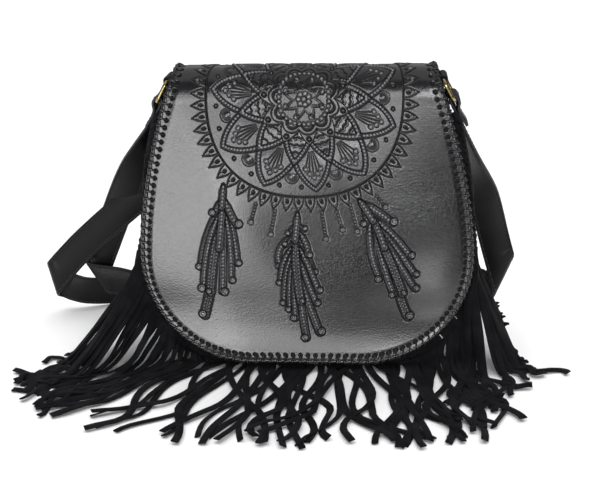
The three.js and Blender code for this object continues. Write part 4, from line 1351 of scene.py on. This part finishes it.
class BAG_OT_rings(bpy.types.Operator):
    """Brass rings: a round wire carried along a rounded rectangle that hangs out from its upper bar"""

    bl_idname = "bag.rings"
    bl_label = "Build rings"

    def execute(self, context):
        metal = brass()
        corner, half, tall = 5.0, 37 / 2 + WIRE, BAR_SPACING
        angle = np.linspace(0, np.pi / 2, 9)
        parts = []
        for k, (y, fall) in enumerate(((1, 0), (-1, 0), (-1, 1), (1, 1))):
            a = angle + k * np.pi / 2
            y, fall = y * (half - corner), corner + fall * (tall - 2 * corner)
            parts.append(np.stack([y + corner * np.cos(a), fall - corner * np.sin(a)], -1))
        flat = resample(np.concatenate(parts), 96, closed=True)
        for side, name in ((-1, "left"), (1, "right")):
            bar, down = ring_hang(side)
            centre = bar + down * flat[:, 1:2] + np.array([0, 1.0, 0]) * flat[:, :1]
            along = unit(np.roll(centre, -1, axis=0) - np.roll(centre, 1, axis=0))
            plate = np.cross(down, [0, 1.0, 0])
            out = np.cross(along, plate)
            turn = np.linspace(0, 2 * np.pi, 16, endpoint=False)[:, None]
            wire = centre[:, None] + (out[:, None] * np.cos(turn) + plate * np.sin(turn)) * WIRE
            at = np.arange(96 * 16).reshape(96, 16)
            ahead, ring = np.roll(at, -1, axis=0), np.roll(at, -1, axis=1)
            faces = np.stack([at, ahead, np.roll(ahead, -1, axis=1), ring], -1).reshape(-1, 4)
            points = wire.reshape(-1, 3)
            make_piece("brass_ring_" + name, points, outward(points, faces), metal, ("ring_" + name,))
        return {"FINISHED"}


class BAG_OT_tabs(bpy.types.Operator):
    """Ring tabs: a leather strip up the gusset, round the ring's bar and down again, sewn at its foot"""

    bl_idname = "bag.tabs"
    bl_label = "Build ring tabs"

    def execute(self, context):
        plain = body_leather()
        sewing = thread("waxed_tab_thread")
        bar_x, bar_z = RING_BAR
        radius = WIRE + 0.3 + 1.0
        turn = np.radians(np.linspace(-12, 205, 16))
        loop = np.stack([bar_x + radius * np.cos(turn), bar_z + radius * np.sin(turn)], -1)
        foot_x = float(half_width(234.0, 146.3, 0)) + 0.3
        top_x = float(half_width(244.0, 146.3, 0)) + 0.3
        rise = np.array([(foot_x + 1.1, 234.3), ((foot_x + bar_x + radius) / 2 + 0.6, 245.0)])
        path = np.vstack([resample(np.vstack([rise, loop[:1]]), 10)[:-1], loop, [(top_x + 1.2, 246.0)]])
        for side, name in ((-1, "left"), (1, "right")):
            middle = np.stack([side * path[:, 0], 0 * path[:, 0], path[:, 1]], -1)[None]
            along = unit(np.gradient(middle, axis=1))
            facing = np.cross(along, np.array([0, 1.0, 0]))
            points, faces = closed_sweeps(ribbons(middle, facing, 27.0, 2.0, FLAT))
            make_piece("tab_" + name, points, faces, plain, ("ring_tab_" + name,))
            across = np.linspace(-10.5, 10.5, 8)
            centre = np.stack([np.full(8, side * (foot_x + 2.3)), across, np.full(8, 238.0)], -1)
            stitch = centre[:, None] + np.array([[0, -1.1, 0], [side * 0.25, 0, 0], [0, 1.1, 0]])
            face = np.broadcast_to(np.array([float(side), 0, 0]), stitch.shape)
            points, faces = closed_sweeps(ribbons(stitch, face, 0.8, 0.5, ROUNDED[::2]))
            make_piece("tab_stitches_" + name, points, faces, sewing, ("ring_tab_" + name,))
        return {"FINISHED"}


def placed(right, upward, back, place):
    """World matrix of a thing with the given axes and place."""
    rows = np.stack([right, upward, back, place], 1)
    return Matrix([*map(tuple, rows), (0, 0, 0, 1)])


def softbox(name, place, target, width, height, radiance):
    """A rectangular studio light of even brightness, aimed at a point. Places and sizes in metres."""
    light = bpy.data.lights.new(name, "AREA")
    light.shape, light.size, light.size_y = "RECTANGLE", width, height
    light.energy = radiance * math.pi * width * height
    lamp = bpy.data.objects.new(name, light)
    bpy.context.scene.collection.objects.link(lamp)
    back = unit(np.array(place, float) - np.array(target, float))
    right = unit(np.cross([0, 0, 1.0], back))
    upward = np.cross(back, right)
    lamp.matrix_world = placed(right, upward, back, place)


# Camera's place in metres, its yaw, downward pitch and roll in degrees, and its focal length in widths
CAMERA_PLACE = (0.080, -1.005, 0.455)
CAMERA_TURN = (5, 19.1, -1.3)
FOCAL = 1148 / 600
FLOOR_SPLIT = -0.38
# Name, place, target, width, height and radiance
SOFTBOXES = (
    ("front_band_light", (-0.29, -2.6, 0.46), (-0.29, 0, 0.12), 0.84, 0.82, 3.4),
    ("front_right_light", (0.42, -2.6, 0.62), (0.42, 0, 0.12), 0.6, 0.5, 9.5),
    ("upper_right_light", (0.55, -2.0, 0.9), (0.1, 0, 0.24), 0.4, 0.6, 10.0),
    ("left_front_light", (-0.68, -1.45, 0.0), (-0.06, 0, 0.12), 0.9, 0.6, 5.8),
    ("right_front_light", (0.38, -1.35, -0.15), (0.1, 0, 0.08), 0.24, 0.18, 4.5),
)


class BAG_OT_stage(bpy.types.Operator):
    """Pale studio floor, soft lights and the camera"""

    bl_idname = "bag.stage"
    bl_label = "Build stage"

    def execute(self, context):
        scene = context.scene
        factor = scene.bag_stage.brightness
        paint = studio_paint()
        # The floor's part in front of the view is kept out of reflections, as a black card there would
        for name, near, far in (("studio_floor", FLOOR_SPLIT, 12), ("studio_floor_front", -12, FLOOR_SPLIT)):
            mesh = bpy.data.meshes.new(name)
            mesh.from_pydata([(-12, near, 0), (12, near, 0), (12, far, 0), (-12, far, 0)], [], [(0, 1, 2, 3)])
            mesh.materials.append(paint)
            floor = bpy.data.objects.new(name, mesh)
            scene.collection.objects.link(floor)
            floor.visible_glossy = name == "studio_floor"

        world = bpy.data.worlds.new("studio_light")
        world.use_nodes = True
        world.node_tree.nodes["Background"].inputs["Color"].default_value = (1, 1, 1, 1)
        world.node_tree.nodes["Background"].inputs["Strength"].default_value = 0.12 * factor
        scene.world = world
        # Most of the ceiling's light is kept out of reflections, as a diffuser high above would
        for name, strength, glossy in (("ceiling_diffuser", 3.1, False), ("ceiling_light", 0.8, True)):
            sun = bpy.data.lights.new(name, "SUN")
            sun.energy, sun.angle = strength * factor, math.radians(100)
            lamp = bpy.data.objects.new(name, sun)
            scene.collection.objects.link(lamp)
            lamp.visible_glossy = glossy
            lamp.matrix_world = placed((1, 0, 0), (0, 0.94, -0.342), (0, 0.342, 0.94), (0, 0, 2))
        for name, place, target, width, height, radiance in SOFTBOXES:
            softbox(name, place, target, width, height, radiance * factor)
        scene.view_settings.view_transform = "Standard"

        camera = bpy.data.cameras.new("camera")
        camera.sensor_fit, camera.sensor_width, camera.lens = "HORIZONTAL", 36, FOCAL * 36
        view = bpy.data.objects.new("camera", camera)
        scene.collection.objects.link(view)
        yaw, pitch, roll = map(math.radians, CAMERA_TURN)
        ahead = np.array([-math.sin(yaw) * math.cos(pitch), math.cos(yaw) * math.cos(pitch), -math.sin(pitch)])
        right = np.array([math.cos(yaw), math.sin(yaw), 0])
        upward = np.cross(right, ahead)
        turned = right * math.cos(roll) + upward * math.sin(roll)
        upward = upward * math.cos(roll) - right * math.sin(roll)
        view.matrix_world = placed(turned, upward, -ahead, CAMERA_PLACE)
        scene.camera = view
        return {"FINISHED"}


class BAG_PT_panel(bpy.types.Panel):
    """Lists the bag's sizes and its builders"""

    bl_idname = "BAG_PT_panel"
    bl_label = "Crossbody bag"
    bl_space_type = "VIEW_3D"
    bl_region_type = "UI"
    bl_category = "Bag"

    def draw(self, context):
        layout = self.layout
        for group, keys, operator in (
            ("bag_sheet", ("relief",), "bag.sheet"),
            ("bag_lace", ("pitch", "width"), "bag.lacing"),
            (None, (), "bag.pouch"),
            ("bag_fringe", ("pitch", "width", "length", "seed"), "bag.fringe"),
            ("bag_strap", ("width", "stitch"), "bag.strap"),
            (None, (), "bag.rings"),
            (None, (), "bag.tabs"),
            ("bag_stage", ("brightness",), "bag.stage"),
        ):
            box = layout.box()
            for key in keys:
                box.prop(getattr(context.scene, group), key)
            box.operator(operator)


GROUPS = {
    "bag_sheet": SheetSettings,
    "bag_lace": LaceSettings,
    "bag_fringe": FringeSettings,
    "bag_strap": StrapSettings,
    "bag_stage": StageSettings,
}
OPERATORS = (
    BAG_OT_sheet,
    BAG_OT_lacing,
    BAG_OT_pouch,
    BAG_OT_fringe,
    BAG_OT_strap,
    BAG_OT_rings,
    BAG_OT_tabs,
    BAG_OT_stage,
)


def register():
    for cls in (*GROUPS.values(), *OPERATORS, BAG_PT_panel):
        bpy.utils.register_class(cls)
    for key, cls in GROUPS.items():
        setattr(bpy.types.Scene, key, bpy.props.PointerProperty(type=cls))


def unregister():
    for key in GROUPS:
        delattr(bpy.types.Scene, key)
    for cls in (BAG_PT_panel, *reversed(OPERATORS), *GROUPS.values()):
        bpy.utils.unregister_class(cls)


def main():
    register()
    bpy.ops.bag.sheet()
    bpy.ops.bag.lacing()
    bpy.ops.bag.pouch()
    bpy.ops.bag.fringe()
    bpy.ops.bag.strap()
    bpy.ops.bag.rings()
    bpy.ops.bag.tabs()
    bpy.ops.bag.stage()


if __name__ == "__main__":
    main()
